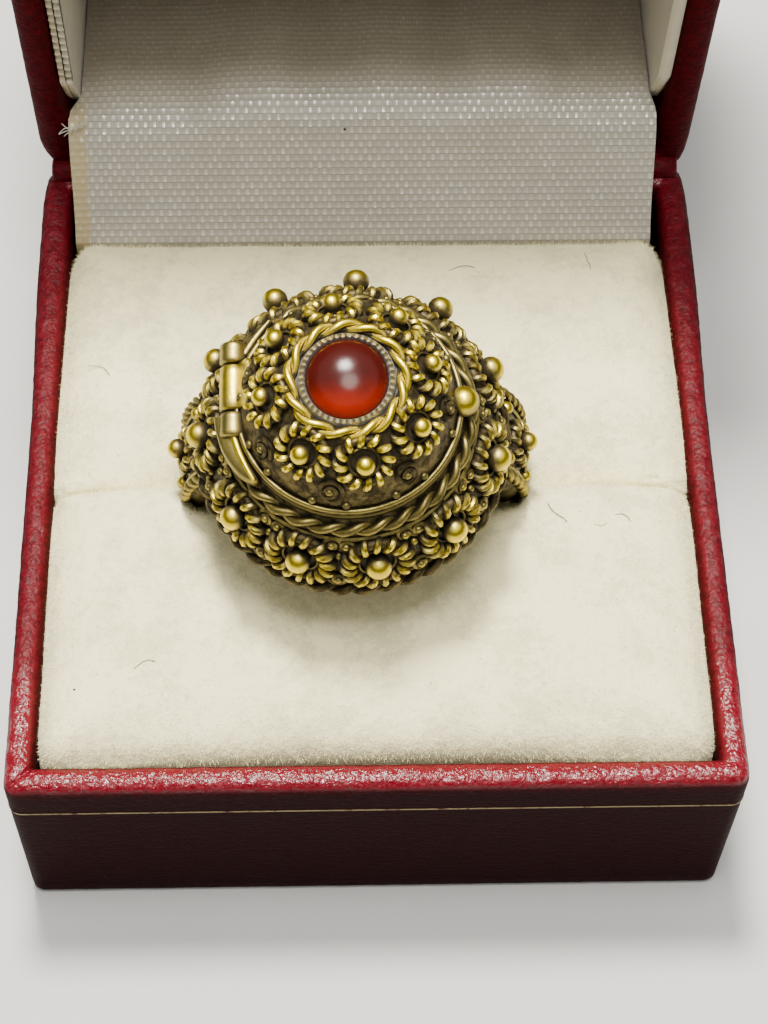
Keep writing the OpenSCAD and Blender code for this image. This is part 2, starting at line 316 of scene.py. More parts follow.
def tube(form, path, radius, sides=8, closed=False, away=(0, 0, 1), wear=0.3):
    """A round wire along a path, with rounded ends; away points to the side of its seam."""
    path = np.asarray(path, float)
    side = np.broadcast_to(np.asarray(away, float), path.shape)
    radius = np.broadcast_to(np.asarray(radius, float), (len(path),)).copy()
    if closed:
        along = np.roll(path, -1, 0) - np.roll(path, 1, 0)
    else:
        caps = len(END_BENDS)
        side = np.concatenate([np.repeat(side[:1], caps, 0), side, np.repeat(side[-1:], caps, 0)])
        bend = np.radians(END_BENDS)
        first, last = unit(path[0] - path[1]), unit(path[-1] - path[-2])
        start = path[0] + np.outer(np.sin(bend), first) * radius[0]
        end = path[-1] + np.outer(np.sin(bend[::-1]), last) * radius[-1]
        slim = np.maximum(np.cos(bend), TIP_SHARE)
        path = np.concatenate([start, path, end])
        radius = np.concatenate([slim * radius[0], radius, slim[::-1] * radius[-1]])
        along = np.gradient(path, axis=0)
        along[:caps], along[-caps:] = -first, last
    along = unit(along)
    side = unit(side - (side * along).sum(1, keepdims=True) * along)
    across = np.cross(along, side)
    angle = np.linspace(0, 2 * np.pi, sides, endpoint=False)
    ring = (np.cos(angle)[None, :, None] * side[:, None] +
            np.sin(angle)[None, :, None] * across[:, None])
    points = path[:, None] + ring * radius[:, None, None]
    rows = len(path)
    wear = np.repeat(wear, sides) if np.ndim(wear) else wear
    form.add(points, grid(rows, sides, closed, True), wear=wear)
    if not closed:
        last_row = (rows - 1) * sides
        form.triangles.append(fan(np.arange(sides), 0)[1:-1] + form.count - rows * sides)
        form.triangles.append(fan(np.arange(sides)[::-1], sides - 1)[1:-1]
                              + last_row + form.count - rows * sides)


def ball(form, centre, radius, wear=1.0, rings=10, sides=16, squash=1.0):
    """A granule; it is rubbed on top and darker towards its foot, partly tarnish and partly painted
    shade.
    """
    tilt = np.linspace(0, np.pi, rings + 1)
    turn = np.linspace(0, 2 * np.pi, sides, endpoint=False)
    points = np.stack([np.outer(np.sin(tilt), np.cos(turn)), np.outer(np.sin(tilt), np.sin(turn)),
                       np.outer(np.cos(tilt), np.ones(sides)) * squash], -1)
    # Less wear towards the foot: partly tarnish, partly painted shade on the granule's lower half
    rubbed = wear * (0.15 + 0.85 * smooth_step(np.cos(tilt), -0.1, 0.85))
    form.add(points * radius + np.asarray(centre, float), grid(rings + 1, sides, False, True),
             wear=np.repeat(rubbed, sides))


def fillet(corners, radii, steps=5):
    """A line through the corners, with each corner rounded to its radius."""
    corners = [np.asarray(corner, float) for corner in corners]
    line = []
    for index, corner in enumerate(corners):
        radius = radii[index]
        if radius <= 0:
            line.append(corner)
            continue
        before = unit(corners[index - 1] - corner)
        after = unit(corners[(index + 1) % len(corners)] - corner)
        cut = radius / math.tan(math.acos(float(np.clip(before @ after, -1, 1))) / 2)
        centre = corner + unit(before + after) * math.hypot(radius, cut)
        start, end = corner + before * cut - centre, corner + after * cut - centre
        turn = math.acos(float(np.clip(start @ end / radius ** 2, -1, 1)))
        for t in np.linspace(0, 1, steps + 1):
            blend = (math.sin((1 - t) * turn) * start + math.sin(t * turn) * end)
            line.append(centre + blend / math.sin(turn))
    return np.array(line)


def lathe(form, profile, sides=96, wear=0.2):
    """Turns a profile of radius and height round the Z axis; it closes unless it ends on the axis."""
    profile = np.asarray(profile, float)
    closed = max(profile[0, 0], profile[-1, 0]) > 0
    turn = np.linspace(0, 2 * np.pi, sides, endpoint=False)
    points = np.stack([np.outer(profile[:, 0], np.cos(turn)), np.outer(profile[:, 0], np.sin(turn)),
                       np.outer(profile[:, 1], np.ones(sides))], -1)
    form.add(points, grid(len(profile), sides, closed, True), wear=wear)


def around(radius, turn, height):
    """Points round the Z axis, from radii, turns in radians and heights."""
    places = np.broadcast_arrays(radius * np.cos(turn), radius * np.sin(turn), height)
    return np.stack(places, -1)


def circle_path(radius, height, count):
    return around(radius, np.linspace(0, 2 * np.pi, count, endpoint=False), height)


def close_ends(form, start, rows, columns):
    """Faces over both ends of a net from that point on, whose rows close on themselves."""
    for column in (0, columns - 1):
        rim = start + np.arange(rows) * columns + column
        form.triangles.append(fan(rim, rim[0])[1:-1])


def twisted(path, away, strand, turns, start=0.0):
    """The path of one strand that winds round another along a path."""
    along = unit(np.gradient(path, axis=0))
    away = unit(away - (away * along).sum(1, keepdims=True) * along)
    across = np.cross(along, away)
    turn = start + np.linspace(0, 2 * np.pi * turns, len(path))
    offset = np.cos(turn)[:, None] * away + np.sin(turn)[:, None] * across
    return path + offset * strand, offset


def rope(form, path, away, strand, pitch, wear=0.5, sides=7):
    """Two strands twisted along an open path; pitch is the distance of two lobes."""
    path = np.asarray(path, float)
    away = np.broadcast_to(np.asarray(away, float), path.shape)
    long = np.linalg.norm(np.diff(path, axis=0), axis=1).sum()
    for start in (0, np.pi):
        line, offset = twisted(path, away, strand * 0.9, long / pitch / 2, start)
        tube(form, line, strand, sides, away=offset, wear=wear)


def rope_ring(form, radius, height, strand, lobes, wear=0.5, sides=8):
    """A twisted rope round the dome's axis; an odd count of lobes is one strand laid twice."""
    laps = 1 if lobes % 2 == 0 else 2
    points_each = 8
    turn = np.linspace(0, 2 * np.pi * laps, lobes * points_each * laps // 2 * 2, endpoint=False)
    for start in ((0, np.pi) if laps == 1 else (0,)):
        wind = turn * lobes / 2 + start
        line = around(radius + strand * STRAND_LAY * np.cos(wind), turn,
                      height + strand * STRAND_LAY * np.sin(wind))
        away = around(np.cos(wind), turn, np.sin(wind))
        tube(form, line, strand, sides, True, away, wear)


def make_piece(name, form, matrix=None, soft_angle=50, weld=True):
    """A Blender object in metres from a form in millimetres; edges over soft_angle are sharp."""
    points = np.concatenate(form.points)
    if matrix is not None:
        points = moved(points, matrix)
    faces = [faces.tolist() for faces in form.quads + form.triangles]
    mesh = bpy.data.meshes.new(name)
    mesh.from_pydata((points * MM).tolist(), [], [face for group in faces for face in group])
    # This attribute carries real wear and also painted shade: dark box faces and side rims, and
    # darker granule feet
    wear = mesh.attributes.new("wear", "FLOAT", "POINT")
    wear.data.foreach_set("value", np.concatenate(form.wear))
    place = mesh.uv_layers.new(name="cloth")
    corner = np.zeros(len(mesh.loops), int)
    mesh.loops.foreach_get("vertex_index", corner)
    place.data.foreach_set("uv", np.concatenate(form.place)[corner].ravel())
    shape = bmesh.new()
    shape.from_mesh(mesh)
    if weld:
        bmesh.ops.remove_doubles(shape, verts=shape.verts, dist=WELD_REACH * MM)
        bmesh.ops.dissolve_degenerate(shape, dist=SLIVER, edges=shape.edges)
    bmesh.ops.recalc_face_normals(shape, faces=shape.faces)
    shape.to_mesh(mesh)
    shape.free()
    mesh.shade_smooth()
    mesh.set_sharp_from_angle(angle=math.radians(soft_angle))
    piece = bpy.data.objects.new(name, mesh)
    bpy.context.scene.collection.objects.link(piece)
    return piece


# Materials


OCCLUSION_RAYS = 8
# A wear value at which the gilding is rubbed off
SILVER_WEAR = 1.75


def shaded(tint, share):
    """A colour with each channel multiplied by the same share."""
    return tuple(channel * share for channel in tint)


class Finish:
    """Builds one material, with short names for the nodes that the finishes share."""

    def __init__(self, name):
        self.material = bpy.data.materials.new(name)
        self.material.use_nodes = True
        self.tree = self.material.node_tree
        self.shader = self.tree.nodes["Principled BSDF"]
        self.object_place = self.node("ShaderNodeTexCoord").outputs["Object"]

    def node(self, kind, **settings):
        node = self.tree.nodes.new(kind)
        for key, value in settings.items():
            setattr(node, key, value)
        return node

    def put(self, socket, value):
        if isinstance(value, bpy.types.NodeSocket):
            self.tree.links.new(value, socket)
        elif socket.type == "RGBA" and len(value) == 3:
            socket.default_value = (*value, 1)
        else:
            socket.default_value = value

    def set(self, **values):
        """Puts values on the shader's sockets; underscores stand for spaces."""
        for key, value in values.items():
            self.put(self.shader.inputs[key.replace("_", " ")], value)

    def grain(self, size, detail=3.0, roughness=0.55, stretch=None, distortion=0.0):
        """Soft noise whose features are about size millimetres."""
        node = self.node("ShaderNodeTexNoise")
        place = self.object_place
        if stretch:
            mapping = self.node("ShaderNodeMapping")
            self.put(mapping.inputs["Vector"], place)
            mapping.inputs["Scale"].default_value = stretch
            place = mapping.outputs["Vector"]
        self.put(node.inputs["Vector"], place)
        self.put(node.inputs["Scale"], 1 / (size * MM))
        self.put(node.inputs["Detail"], detail)
        self.put(node.inputs["Roughness"], roughness)
        self.put(node.inputs["Distortion"], distortion)
        return node.outputs["Fac"]

    def cells(self, size):
        """Distance from the middles of cells that are about size millimetres wide."""
        node = self.node("ShaderNodeTexVoronoi")
        self.put(node.inputs["Vector"], self.object_place)
        self.put(node.inputs["Scale"], 1 / (size * MM))
        return node.outputs["Distance"]

    def math(self, operation, first, second=0.0):
        node = self.node("ShaderNodeMath", operation=operation)
        self.put(node.inputs[0], first)
        self.put(node.inputs[1], second)
        return node.outputs[0]

    def plus(self, first, second):
        return self.math("ADD", first, second)

    def minus(self, first, second):
        return self.math("SUBTRACT", first, second)

    def times(self, first, second):
        return self.math("MULTIPLY", first, second)

    def ramp(self, value, low, high, to_low=0.0, to_high=1.0):
        """A smooth step from to_low to to_high while the value runs from low to high."""
        node = self.node("ShaderNodeMapRange", interpolation_type="SMOOTHSTEP")
        for socket, number in zip(node.inputs, (value, low, high, to_low, to_high)):
            self.put(socket, number)
        return node.outputs[0]

    def mix(self, amount, first, second):
        node = self.node("ShaderNodeMix", data_type="RGBA")
        self.put(node.inputs["Factor"], amount)
        self.put(node.inputs[6], first)
        self.put(node.inputs[7], second)
        return node.outputs[2]

    def attribute(self, name):
        return self.node("ShaderNodeAttribute", attribute_name=name).outputs["Fac"]

    def open_to_light(self, distance):
        """1 on open faces and lower in recesses, within distance millimetres."""
        node = self.node("ShaderNodeAmbientOcclusion", samples=OCCLUSION_RAYS)
        node.inputs["Distance"].default_value = distance * MM
        return node.outputs["AO"]

    def part_of(self, vector, axis):
        """The vector's part along an axis, by the axis's number."""
        node = self.node("ShaderNodeSeparateXYZ")
        self.put(node.inputs[0], vector)
        return node.outputs[axis]

    def bump(self, height, depth, strength=1.0, under=None):
        """Relief of that depth in millimetres."""
        node = self.node("ShaderNodeBump")
        self.put(node.inputs["Height"], height)
        node.inputs["Strength"].default_value = strength
        node.inputs["Distance"].default_value = depth * MM
        if under is not None:
            self.put(node.inputs["Normal"], under)
        return node.outputs["Normal"]


def gilt_finish(colours):
    """Old gilding: dark in the recesses, tarnished on open faces, rubbed bright on the crests."""
    finish = Finish("worn_gilding")
    wear = finish.attribute("wear")
    cloud = finish.grain(1.4, 4)
    fine = finish.grain(0.3, 3)
    open_face = finish.plus(finish.open_to_light(1.2), finish.times(cloud, 0.3))
    clear = finish.ramp(open_face, 0.52, 1.04)
    mottle = finish.times(clear, finish.ramp(finish.grain(0.8, 5, 0.65), 0.38, 0.62))
    base = finish.mix(mottle, colours.patina, colours.tarnish)
    patchy = finish.plus(finish.times(cloud, 0.5), finish.times(fine, 0.3))
    rubbed = finish.minus(finish.plus(wear, patchy), 0.4)
    gold = finish.times(finish.ramp(rubbed, 0.1, 0.55), finish.ramp(clear, 0.0, 0.8))
    bright = finish.times(finish.ramp(rubbed, 0.5, 0.95), clear)
    skin = finish.mix(gold, base, colours.gilt_mid)
    skin = finish.mix(bright, skin, colours.gilt_bright)
    skin = finish.mix(finish.ramp(wear, 1.5, 1.9), skin, colours.worn_silver)
    gloss = finish.ramp(gold, 0.0, 1.0, 0.55, 0.38)
    gloss = finish.minus(gloss, finish.times(bright, 0.05))
    relief = finish.bump(finish.grain(0.12, 4, 0.65), 0.015, 0.5)
    relief = finish.bump(finish.grain(0.55, 3), 0.05, 0.5, relief)
    finish.set(Base_Color=skin, Metallic=finish.ramp(clear, 0.0, 0.7, 0.4, 1.0), Roughness=gloss,
               Normal=relief)
    return finish.material


def stone_finish(colours):
    """Polished carnelian with painted light: painted dark from above and a painted glow low in front.
    """
    finish = Finish("polished_stone")
    up = Matrix.Rotation(RING_LEAN, 3, "X") @ Vector((0, 0, 1))
    centre = RING_PLACE + Matrix.Rotation(RING_LEAN, 3, "X") @ Vector((0, 0, STONE_MIDDLE))
    # Painted light: the colour runs from the dark top to a painted glow low in front
    glow_way = (Vector((0.1, -1.0, -0.55)) - up * 0.1).normalized()
    dot = finish.node("ShaderNodeVectorMath", operation="DOT_PRODUCT")
    offset = finish.node("ShaderNodeVectorMath", operation="SUBTRACT")
    finish.put(offset.inputs[0], finish.object_place)
    offset.inputs[1].default_value = centre * MM
    finish.put(dot.inputs[0], offset.outputs[0])
    dot.inputs[1].default_value = glow_way
    cloud = finish.times(finish.grain(1.4, 3), 1.2 * MM)
    low = finish.plus(dot.outputs["Value"], cloud)
    glow = finish.ramp(low, 0.1 * MM, 3.1 * MM)
    skin = finish.mix(glow, colours.stone_dark, colours.stone_painted_glow)
    # The painted glow is also given a faint emission
    finish.set(Base_Color=skin, Roughness=0.19, Specular_IOR_Level=0.15, IOR=1.5,
               Subsurface_Weight=0.15, Subsurface_Radius=(0.002, 0.0004, 0.0002),
               Subsurface_Scale=0.6, Emission_Color=skin,
               Emission_Strength=finish.times(glow, 0.06))
    finish.set(Normal=finish.bump(finish.grain(0.9, 2), 0.01, 0.25))
    return finish.material


def leatherette_finish(colours, name="red_covering", painted_face_light=0.0):
    """Red covering with a crinkled grain, glossy where worn; low wear paints its faces dark as
    painted shade, and the last argument lifts them with painted light.
    """
    finish = Finish(name)
    wear = finish.attribute("wear")
    coarse = finish.cells(0.4)
    creases = finish.grain(0.42, 2.5, 0.6, distortion=0.9)
    lines = finish.grain(0.3, 2, stretch=(0.12, 0.12, 1.0))
    height = finish.plus(finish.times(coarse, -0.5), creases)
    height = finish.times(height, finish.ramp(wear, 0.0, 1.0, 0.25, 1.0))
    worn = finish.ramp(finish.plus(creases, finish.times(wear, 0.45)), 0.45, 0.9)
    # Painted shade: faces with low wear get the near-black red and rims with high wear the lighter
    # red; the last argument is a least share of painted light on the faces
    shade = finish.ramp(wear, 0.1, 0.75)
    shade = finish.math("MAXIMUM", shade, painted_face_light)
    deep = finish.mix(shade, colours.leather_painted_face_shade, colours.leather_dark)
    raised = finish.mix(shade, shaded(colours.leather_painted_face_shade, 2.2), colours.leather)
    red = finish.mix(worn, deep, raised)
    relief = finish.bump(finish.plus(height, finish.times(lines, 0.25)), 0.14, 1.0)
    relief = finish.bump(finish.grain(0.1, 3), 0.004, 0.5, relief)
    gloss = finish.ramp(wear, 0.3, 0.9, 0.6, 0.23)
    finish.set(Base_Color=red, Roughness=gloss, Normal=relief,
               Specular_IOR_Level=finish.ramp(wear, 0.3, 0.9, 0.03, 0.5))
    return finish.material


def gold_line_finish(colours):
    """Dull gold, worn off in places down to the covering."""
    finish = Finish("tooled_line")
    rubbed = finish.ramp(finish.grain(0.7, 4), 0.3, 0.5)
    skin = finish.mix(rubbed, colours.leather_dark, colours.gold_line)
    finish.set(Base_Color=skin, Metallic=0.6, Roughness=0.5,
               Normal=finish.bump(finish.grain(0.1, 3), 0.02, 0.5))
    return finish.material


def velvet_finish(colours):
    """Short cream nap: soft sheen, faint pressed shades, fine pile."""
    finish = Finish("velvet_nap")
    shade = finish.grain(4.5, 4, 0.6)
    pile = finish.grain(0.16, 3, 0.7)
    tufts = finish.grain(0.7, 4, 0.65)
    dark = shaded(colours.velvet, 0.77)
    tone = finish.plus(finish.times(shade, 0.45), finish.times(tufts, 0.3))
    tone = finish.plus(tone, finish.times(pile, 0.25))
    skin = finish.mix(finish.ramp(tone, 0.4, 0.55), dark, colours.velvet)
    relief = finish.bump(pile, 0.09, 0.7)
    relief = finish.bump(tufts, 0.22, 0.6, relief)
    finish.set(Base_Color=skin, Roughness=0.95, Sheen_Weight=0.45, Sheen_Roughness=0.5,
               Sheen_Tint=(1.0, 0.96, 0.82, 1), Specular_IOR_Level=0.15, Normal=relief)
    return finish.material


# The satin's places in millimetres: across it from its middle line, and along it from its start
STAINED_EDGE = (-21.9, -22.2)
STAINED_END = (14.5, 12.0)
# Painted shade deeper into the lid: where along the satin it starts and is full, how dark it gets,
# and its tint
SHADED_FROM = 12.2
SHADED_TO = 18.5
SHADE_SHARE = 0.72
SHADE_TINT = (0.7, 0.65, 0.56)


def satin_finish(colours, cloth):
    """Ribbed satin: thin dark lines between ribs, fine warp and floats in a brick order that are
    painted bright as painted sheen, with painted shade deeper into the lid.
    """
    finish = Finish("ribbed_satin")
    place = finish.node("ShaderNodeUVMap", uv_map="cloth").outputs["UV"]
    across, along = (finish.part_of(place, axis) for axis in (0, 1))
    wander = finish.times(finish.grain(3, 2), 0.12)
    column = finish.math("DIVIDE", finish.plus(across, wander), cloth.warp)
    row = finish.math("DIVIDE", along, cloth.weft)
    rib = finish.math("SINE", finish.times(finish.math("FRACT", row), math.pi))
    shifted = finish.plus(column, finish.math("FLOOR", row))
    pair = finish.math("FRACT", finish.times(shifted, 0.5))
    off_float = finish.math("ABSOLUTE", finish.minus(pair, 0.5))
    floats = finish.ramp(off_float, 0.19, 0.09)
    thread = finish.math("ABSOLUTE", finish.minus(finish.math("FRACT", column), 0.5))
    thread_gap = finish.ramp(thread, 0.3, 0.48)
    line = finish.ramp(rib, 0.02, 0.4)
    uneven = finish.ramp(finish.grain(1.1, 3), 0.35, 0.65, 0.55, 1.0)
    thread_end = finish.node("ShaderNodeCombineXYZ")
    finish.put(thread_end.inputs["X"], finish.math("FLOOR", finish.times(shifted, 0.5)))
    finish.put(thread_end.inputs["Y"], finish.math("FLOOR", row))
    one_float = finish.node("ShaderNodeTexWhiteNoise", noise_dimensions="2D")
    finish.put(one_float.inputs["Vector"], thread_end.outputs[0])
    uneven = finish.times(uneven, finish.ramp(one_float.outputs["Value"], 0, 1, 0.4, 1.3))
    dark = shaded(colours.satin, 0.62)
    # Painted sheen: the floats are painted lighter than the satin, each by its own random share
    light = tuple(min(1.0, channel * 1.55) for channel in colours.satin)
    skin = finish.mix(line, dark, colours.satin)
    skin = finish.mix(finish.times(thread_gap, 0.22), skin, dark)
    bright = finish.times(floats, finish.times(line, uneven))
    skin = finish.mix(bright, skin, light)
    edge = finish.plus(across, finish.times(finish.grain(2.5, 3), 0.5))
    aged = finish.times(finish.ramp(edge, *STAINED_EDGE), finish.ramp(along, *STAINED_END))
    skin = finish.mix(finish.times(aged, 0.8), skin, colours.satin_aged)
    # Faint random clouds, plus painted shade that darkens the satin deeper into the lid
    cloud = finish.ramp(finish.grain(5, 3), 0.3, 0.7, 0.0, 0.14)
    cloud = finish.plus(cloud, finish.ramp(along, SHADED_FROM, SHADED_TO, 0.0, SHADE_SHARE))
    painted_shade_tint = tuple(channel * part for channel, part in zip(dark, SHADE_TINT))
    skin = finish.mix(cloud, skin, painted_shade_tint)
    height = finish.plus(finish.times(rib, 0.45), finish.times(bright, 0.5))
    height = finish.minus(height, finish.times(thread_gap, 0.25))
    relief = finish.bump(height, 0.035, 0.5)
    relief = finish.bump(finish.grain(0.12, 2, stretch=(1, 0.3, 0.3)), 0.012, 0.4, relief)
    finish.set(Base_Color=skin, Roughness=finish.ramp(bright, 0, 1, 0.5, 0.25), Normal=relief,
               Specular_IOR_Level=finish.ramp(bright, 0, 1, 0.45, 1.0),
               Coat_Weight=finish.ramp(bright, 0, 1, 0.14, 1.0), Coat_Roughness=0.22,
               Coat_Normal=relief)
    return finish.material


def card_finish(colours):
    """Smooth covered card, yellowed where it is worn."""
    finish = Finish("covered_card")
    cloud = finish.grain(6, 3)
    dark = shaded(colours.card, 0.78)
    skin = finish.mix(finish.ramp(cloud, 0.35, 0.7), dark, colours.card)
    aged = finish.times(finish.attribute("wear"), 0.8)
    skin = finish.mix(aged, skin, colours.satin_aged)
    relief = finish.bump(finish.grain(0.15, 3, stretch=(1, 1, 0.4)), 0.02, 0.5)
    finish.set(Base_Color=skin, Roughness=0.5, Sheen_Weight=0.2, Normal=relief)
    return finish.material


def steel_finish(colours):
    """Drawn steel wire with fine streaks."""
    finish = Finish("steel_wire")
    streak = finish.grain(0.4, 3, stretch=(0.1, 1, 1))
    dark = shaded(colours.steel, 0.6)
    finish.set(Base_Color=finish.mix(streak, dark, colours.steel), Metallic=1.0,
               Roughness=finish.ramp(streak, 0.3, 0.7, 0.3, 0.5),
               Normal=finish.bump(streak, 0.01, 0.4))
    return finish.material


def lint_finish(name, red, green, blue):
    """A hair, speck or thread of one colour."""
    finish = Finish(name)
    tone = finish.mix(finish.grain(1.0, 2), (red, green, blue), (red * 0.5, green * 0.5, blue * 0.5))
    finish.set(Base_Color=tone, Roughness=0.7)
    return finish.material


def floor_finish(colours):
    """A pale matt floor with faint clouds."""
    finish = Finish("floor")
    dark = shaded(colours.floor, 0.96)
    tone = finish.mix(finish.grain(9, 3), dark, colours.floor)
    finish.set(Base_Color=tone, Roughness=0.9, Specular_IOR_Level=0.1,
               Normal=finish.bump(finish.grain(0.8, 3), 0.03, 0.3))
    return finish.material


def settings(context):
    """The user's sizes in millimetres, and the colours."""
    scene = context.scene
    groups = (scene.ring_filigree, scene.ring_case, scene.ring_cloth)
    return [*(sizes_of(group) for group in groups), scene.ring_finishes]


def ready(piece, body, slot, material, *nodes):
    """Gives a piece its body, its finish and the frame's nodes that it stands for."""
    piece.data.materials.clear()
    piece.data.materials.append(material)
    if nodes:
        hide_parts(*nodes)
    if body:
        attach(piece, body)


def material_once(name, maker, *inputs):
    """The material of that name, made when it is first asked for."""
    return bpy.data.materials.get(name) or maker(*inputs)


# The ring


CUP_ANGLES = (87, 53, 22, -14, -47, -80, -111, -142, -178, -208, -241)
LID_ANGLES = (100, 53, 13, -33, -79, -123, -172, -214)
CUP_ROSETTE = SimpleNamespace(out=9.75, up=12.5, tilt=math.radians(70))
LID_ROSETTE = SimpleNamespace(out=5.32, up=20.93, tilt=math.radians(45))
SHOULDER_ROSETTE = SimpleNamespace(angle=17, lift=0.25)
MOUTH_LOBES = 31
FOOT_LOBES = 42
STONE_LOBES = 13
KNUCKLE_R = 0.95
KNUCKLE_SPLIT = 1.75
KNUCKLE_GAP = 0.15
KNUCKLE_SHIFT = 1.35
FRONT_KNUCKLE = 1.7
BACK_KNUCKLE = 1.5
PIN_R = 0.38
PIN_REACH = KNUCKLE_SPLIT + 1.55
LEAF_R = 7.95
LEAF_LOW = 15.9
LEAF_HIGH = 17.0

# Between the rosettes: degrees to the side, height, and distance from the axis; and beads' radii
CUP_LEAN = 66
CUP_SCROLLS = ((-3.2, 14.25, 8.85), (3.2, 14.2, 8.87), (0, 10.95, 10.3))
CUP_BEADS = ((0, 13.2, 9.35, 0.34), (-4, 11.6, 9.98, 0.26), (4, 11.6, 9.98, 0.26))
DOME_SCROLL_TILT = 62
DOME_BEAD_TILT = 73

# A shoulder's wires: places to the side of its middle, and degrees up from its side
EDGE_ROPES = (-3.0, 3.0)
EDGE_WIRES = (-2.35, 2.35)
WING_BALLS = ((-1.95, 6), (1.95, 6), (-1.9, 28), (1.9, 28))


def between(angles):
    """The angles halfway between neighbours on a circle."""
    following = [*angles[1:], angles[0] - 360]
    return [(first + second) / 2 for first, second in zip(angles, following)]


def rosette(coil, turn, wire, granule, turns, rubbed, chance, stand=1.0):
    """A ring of coiled wire round a granule on its neck, flat at the origin with its face up."""
    form = Form()
    lap = np.linspace(0, 2 * np.pi, turns * 12, endpoint=False)
    wind = lap * turns + chance.uniform(0, 2 * np.pi)
    path = around(coil + turn * np.cos(wind), lap, turn * np.sin(wind))
    away = around(np.cos(wind), lap, np.sin(wind))
    tube(form, path, wire, 7, True, away, 0.15 + rubbed * smooth_step(np.sin(wind), -0.1, 0.95))
    tube(form, circle_path(coil, -0.05, 40), turn * 0.9, 8, True, wear=0.0)
    plate = coil + turn * 0.5
    lathe(form, [(0, -turn - 0.25), (plate, -turn - 0.25), (plate, -turn * 0.75),
                 (0, -turn * 0.75)], 32, wear=0.0)
    inner = coil - turn - wire
    tube(form, circle_path(max(inner, granule * 0.9) + 0.02, 0.05, 36), wire * 0.5, 6, True,
         wear=0.3)
    height = granule * chance.uniform(0.98, 1.1) * stand
    lathe(form, [(0, -turn), (granule * 0.8, -turn), (granule * 0.72, height * 0.5),
                 (0, height * 0.5)], 20, wear=0.2)
    shift = chance.uniform(-0.06, 0.06, 2)
    ball(form, (shift[0], shift[1], height), granule * chance.uniform(0.96, 1.03), 1.0, 12, 20,
         chance.uniform(0.93, 1.02))
    return form


def scroll(turns, radius, wire, wear=0.45):
    """A flat spiral of wire, round the origin."""
    form = Form()
    lap = np.linspace(0, 2 * np.pi * turns, int(20 * turns))
    out = np.linspace(radius, radius * 0.25, len(lap))
    tube(form, around(out, lap, np.linspace(0, wire, len(lap))), wire, 6, wear=wear)
    ball(form, (0, 0, wire), wire * 1.5, wear + 0.3, 6, 10)
    return form


def slab(form, outline, low, high, bevel, wear=0.3, matrix=None):
    """A plate of that outline between two heights, with its edges taken off."""
    outline = np.asarray(outline, float)
    middle = outline.mean(0)
    inward = unit(middle - outline) * bevel
    rows = [(outline + inward, low), (outline, low + bevel), (outline, high - bevel),
            (outline + inward, high)]
    points = [np.column_stack([ring, np.full(len(ring), z)]) for ring, z in rows]
    count = len(outline)
    ends = [[*middle, low], [*middle, high]]
    points = np.concatenate([*points, ends])
    if matrix is not None:
        points = moved(points, matrix)
    triangles = np.concatenate([fan(np.arange(count), 4 * count),
                                fan(np.arange(3 * count, 4 * count), 4 * count + 1)])
    form.add(points, grid(4, count, False, True), triangles, wear)


def barrel(form, y1, y2, radius, centre, wear=0.75):
    """A hinge knuckle along Y, with its end edges taken off."""
    bevel = radius * 0.16
    profile = [(0, y1), (radius - bevel, y1), (radius, y1 + bevel)]
    profile += [(radius, y) for y in np.linspace(y1 + bevel, y2 - bevel, 6)[1:-1]]
    profile += [(radius, y2 - bevel), (radius - bevel, y2), (0, y2)]
    part = Form()
    lathe(part, profile, 28, wear=wear)
    form.join(part, Matrix.Translation(centre) @ Matrix.Rotation(math.radians(-90), 4, "X"))


def shank_width(height):
    """Width of the band: narrow at the bottom, wide under the dome."""
    return np.interp(height, (-BAND_R, -7, 0, 6, FOOT_Z), (3.8, 3.8, 4.4, 8.0, 9.4))


def shank(form):
    """The plain band, swept round the finger hole, with its edges taken off."""
    turn = np.linspace(0, 2 * np.pi, 144, endpoint=False)
    half = shank_width(BAND_R * np.sin(turn)) / 2
    edge = 0.35
    corners = [(-1, FINGER_R), (-1, BAND_R), (1, BAND_R), (1, FINGER_R)]
    points = []
    for side, out in corners:
        rise = edge if out == FINGER_R else -edge
        ends = [(half - edge, out), (half, out + rise)]
        for width, radius in ends if side * rise < 0 else ends[::-1]:
            y = side * width + WING_SHIFT * 0.7 * smooth_step(np.sin(turn), -0.6, 0.2)
            points.append(np.stack([radius * np.cos(turn), y, radius * np.sin(turn)], -1))
    form.add(np.array(points), grid(len(points), len(turn), True, True), wear=0.35)


def wing_half(angle):
    """Half the width of a shoulder: narrow where it runs down into the cushion."""
    return np.interp(angle, (-15, 10, 45), (2.3, 3.15, 3.4))


def on_wing(angle, y, lift=0.0, side=1):
    """A point over a shoulder's outer face; the angle is in degrees up from its side."""
    y = WING_SHIFT + y * wing_half(angle) / 3.3
    angle = np.radians(angle)
    out = WING_R + lift
    x, y, z = np.broadcast_arrays(side * out * np.cos(angle), y, WING_RISE + out * np.sin(angle))
    return np.stack([x, y, z], -1)


def wing(form, side):
    """A shoulder's solid, from the band out to the face that carries the wires."""
    turn = np.radians(np.linspace(-15, 47, 40))
    full = np.sin(turn) * WING_RISE + np.sqrt((np.sin(turn) * WING_RISE) ** 2
                                              - WING_RISE ** 2 + WING_R ** 2)
    outer = BAND_R - 0.3 + (full - BAND_R + 0.3) * smooth_step(np.degrees(turn), -15.5, -9)
    half, edge = wing_half(np.degrees(turn)), 0.5
    section = [(half, 0), (half, 1 - edge / 2), (half - edge, 1), (half * 0, 1.0), (edge - half, 1),
               (-half, 1 - edge / 2), (-half, 0)]
    rows = []
    for y, rise in section:
        out = FINGER_R + 0.1 + (outer - FINGER_R - 0.1) * rise
        rows.append(np.stack([side * out * np.cos(turn), WING_SHIFT + y, out * np.sin(turn)], -1))
    points = np.array(rows)
    count, long = points.shape[:2]
    start = form.count
    form.add(points, grid(count, long, True, False), wear=0.05)
    close_ends(form, start, count, long)


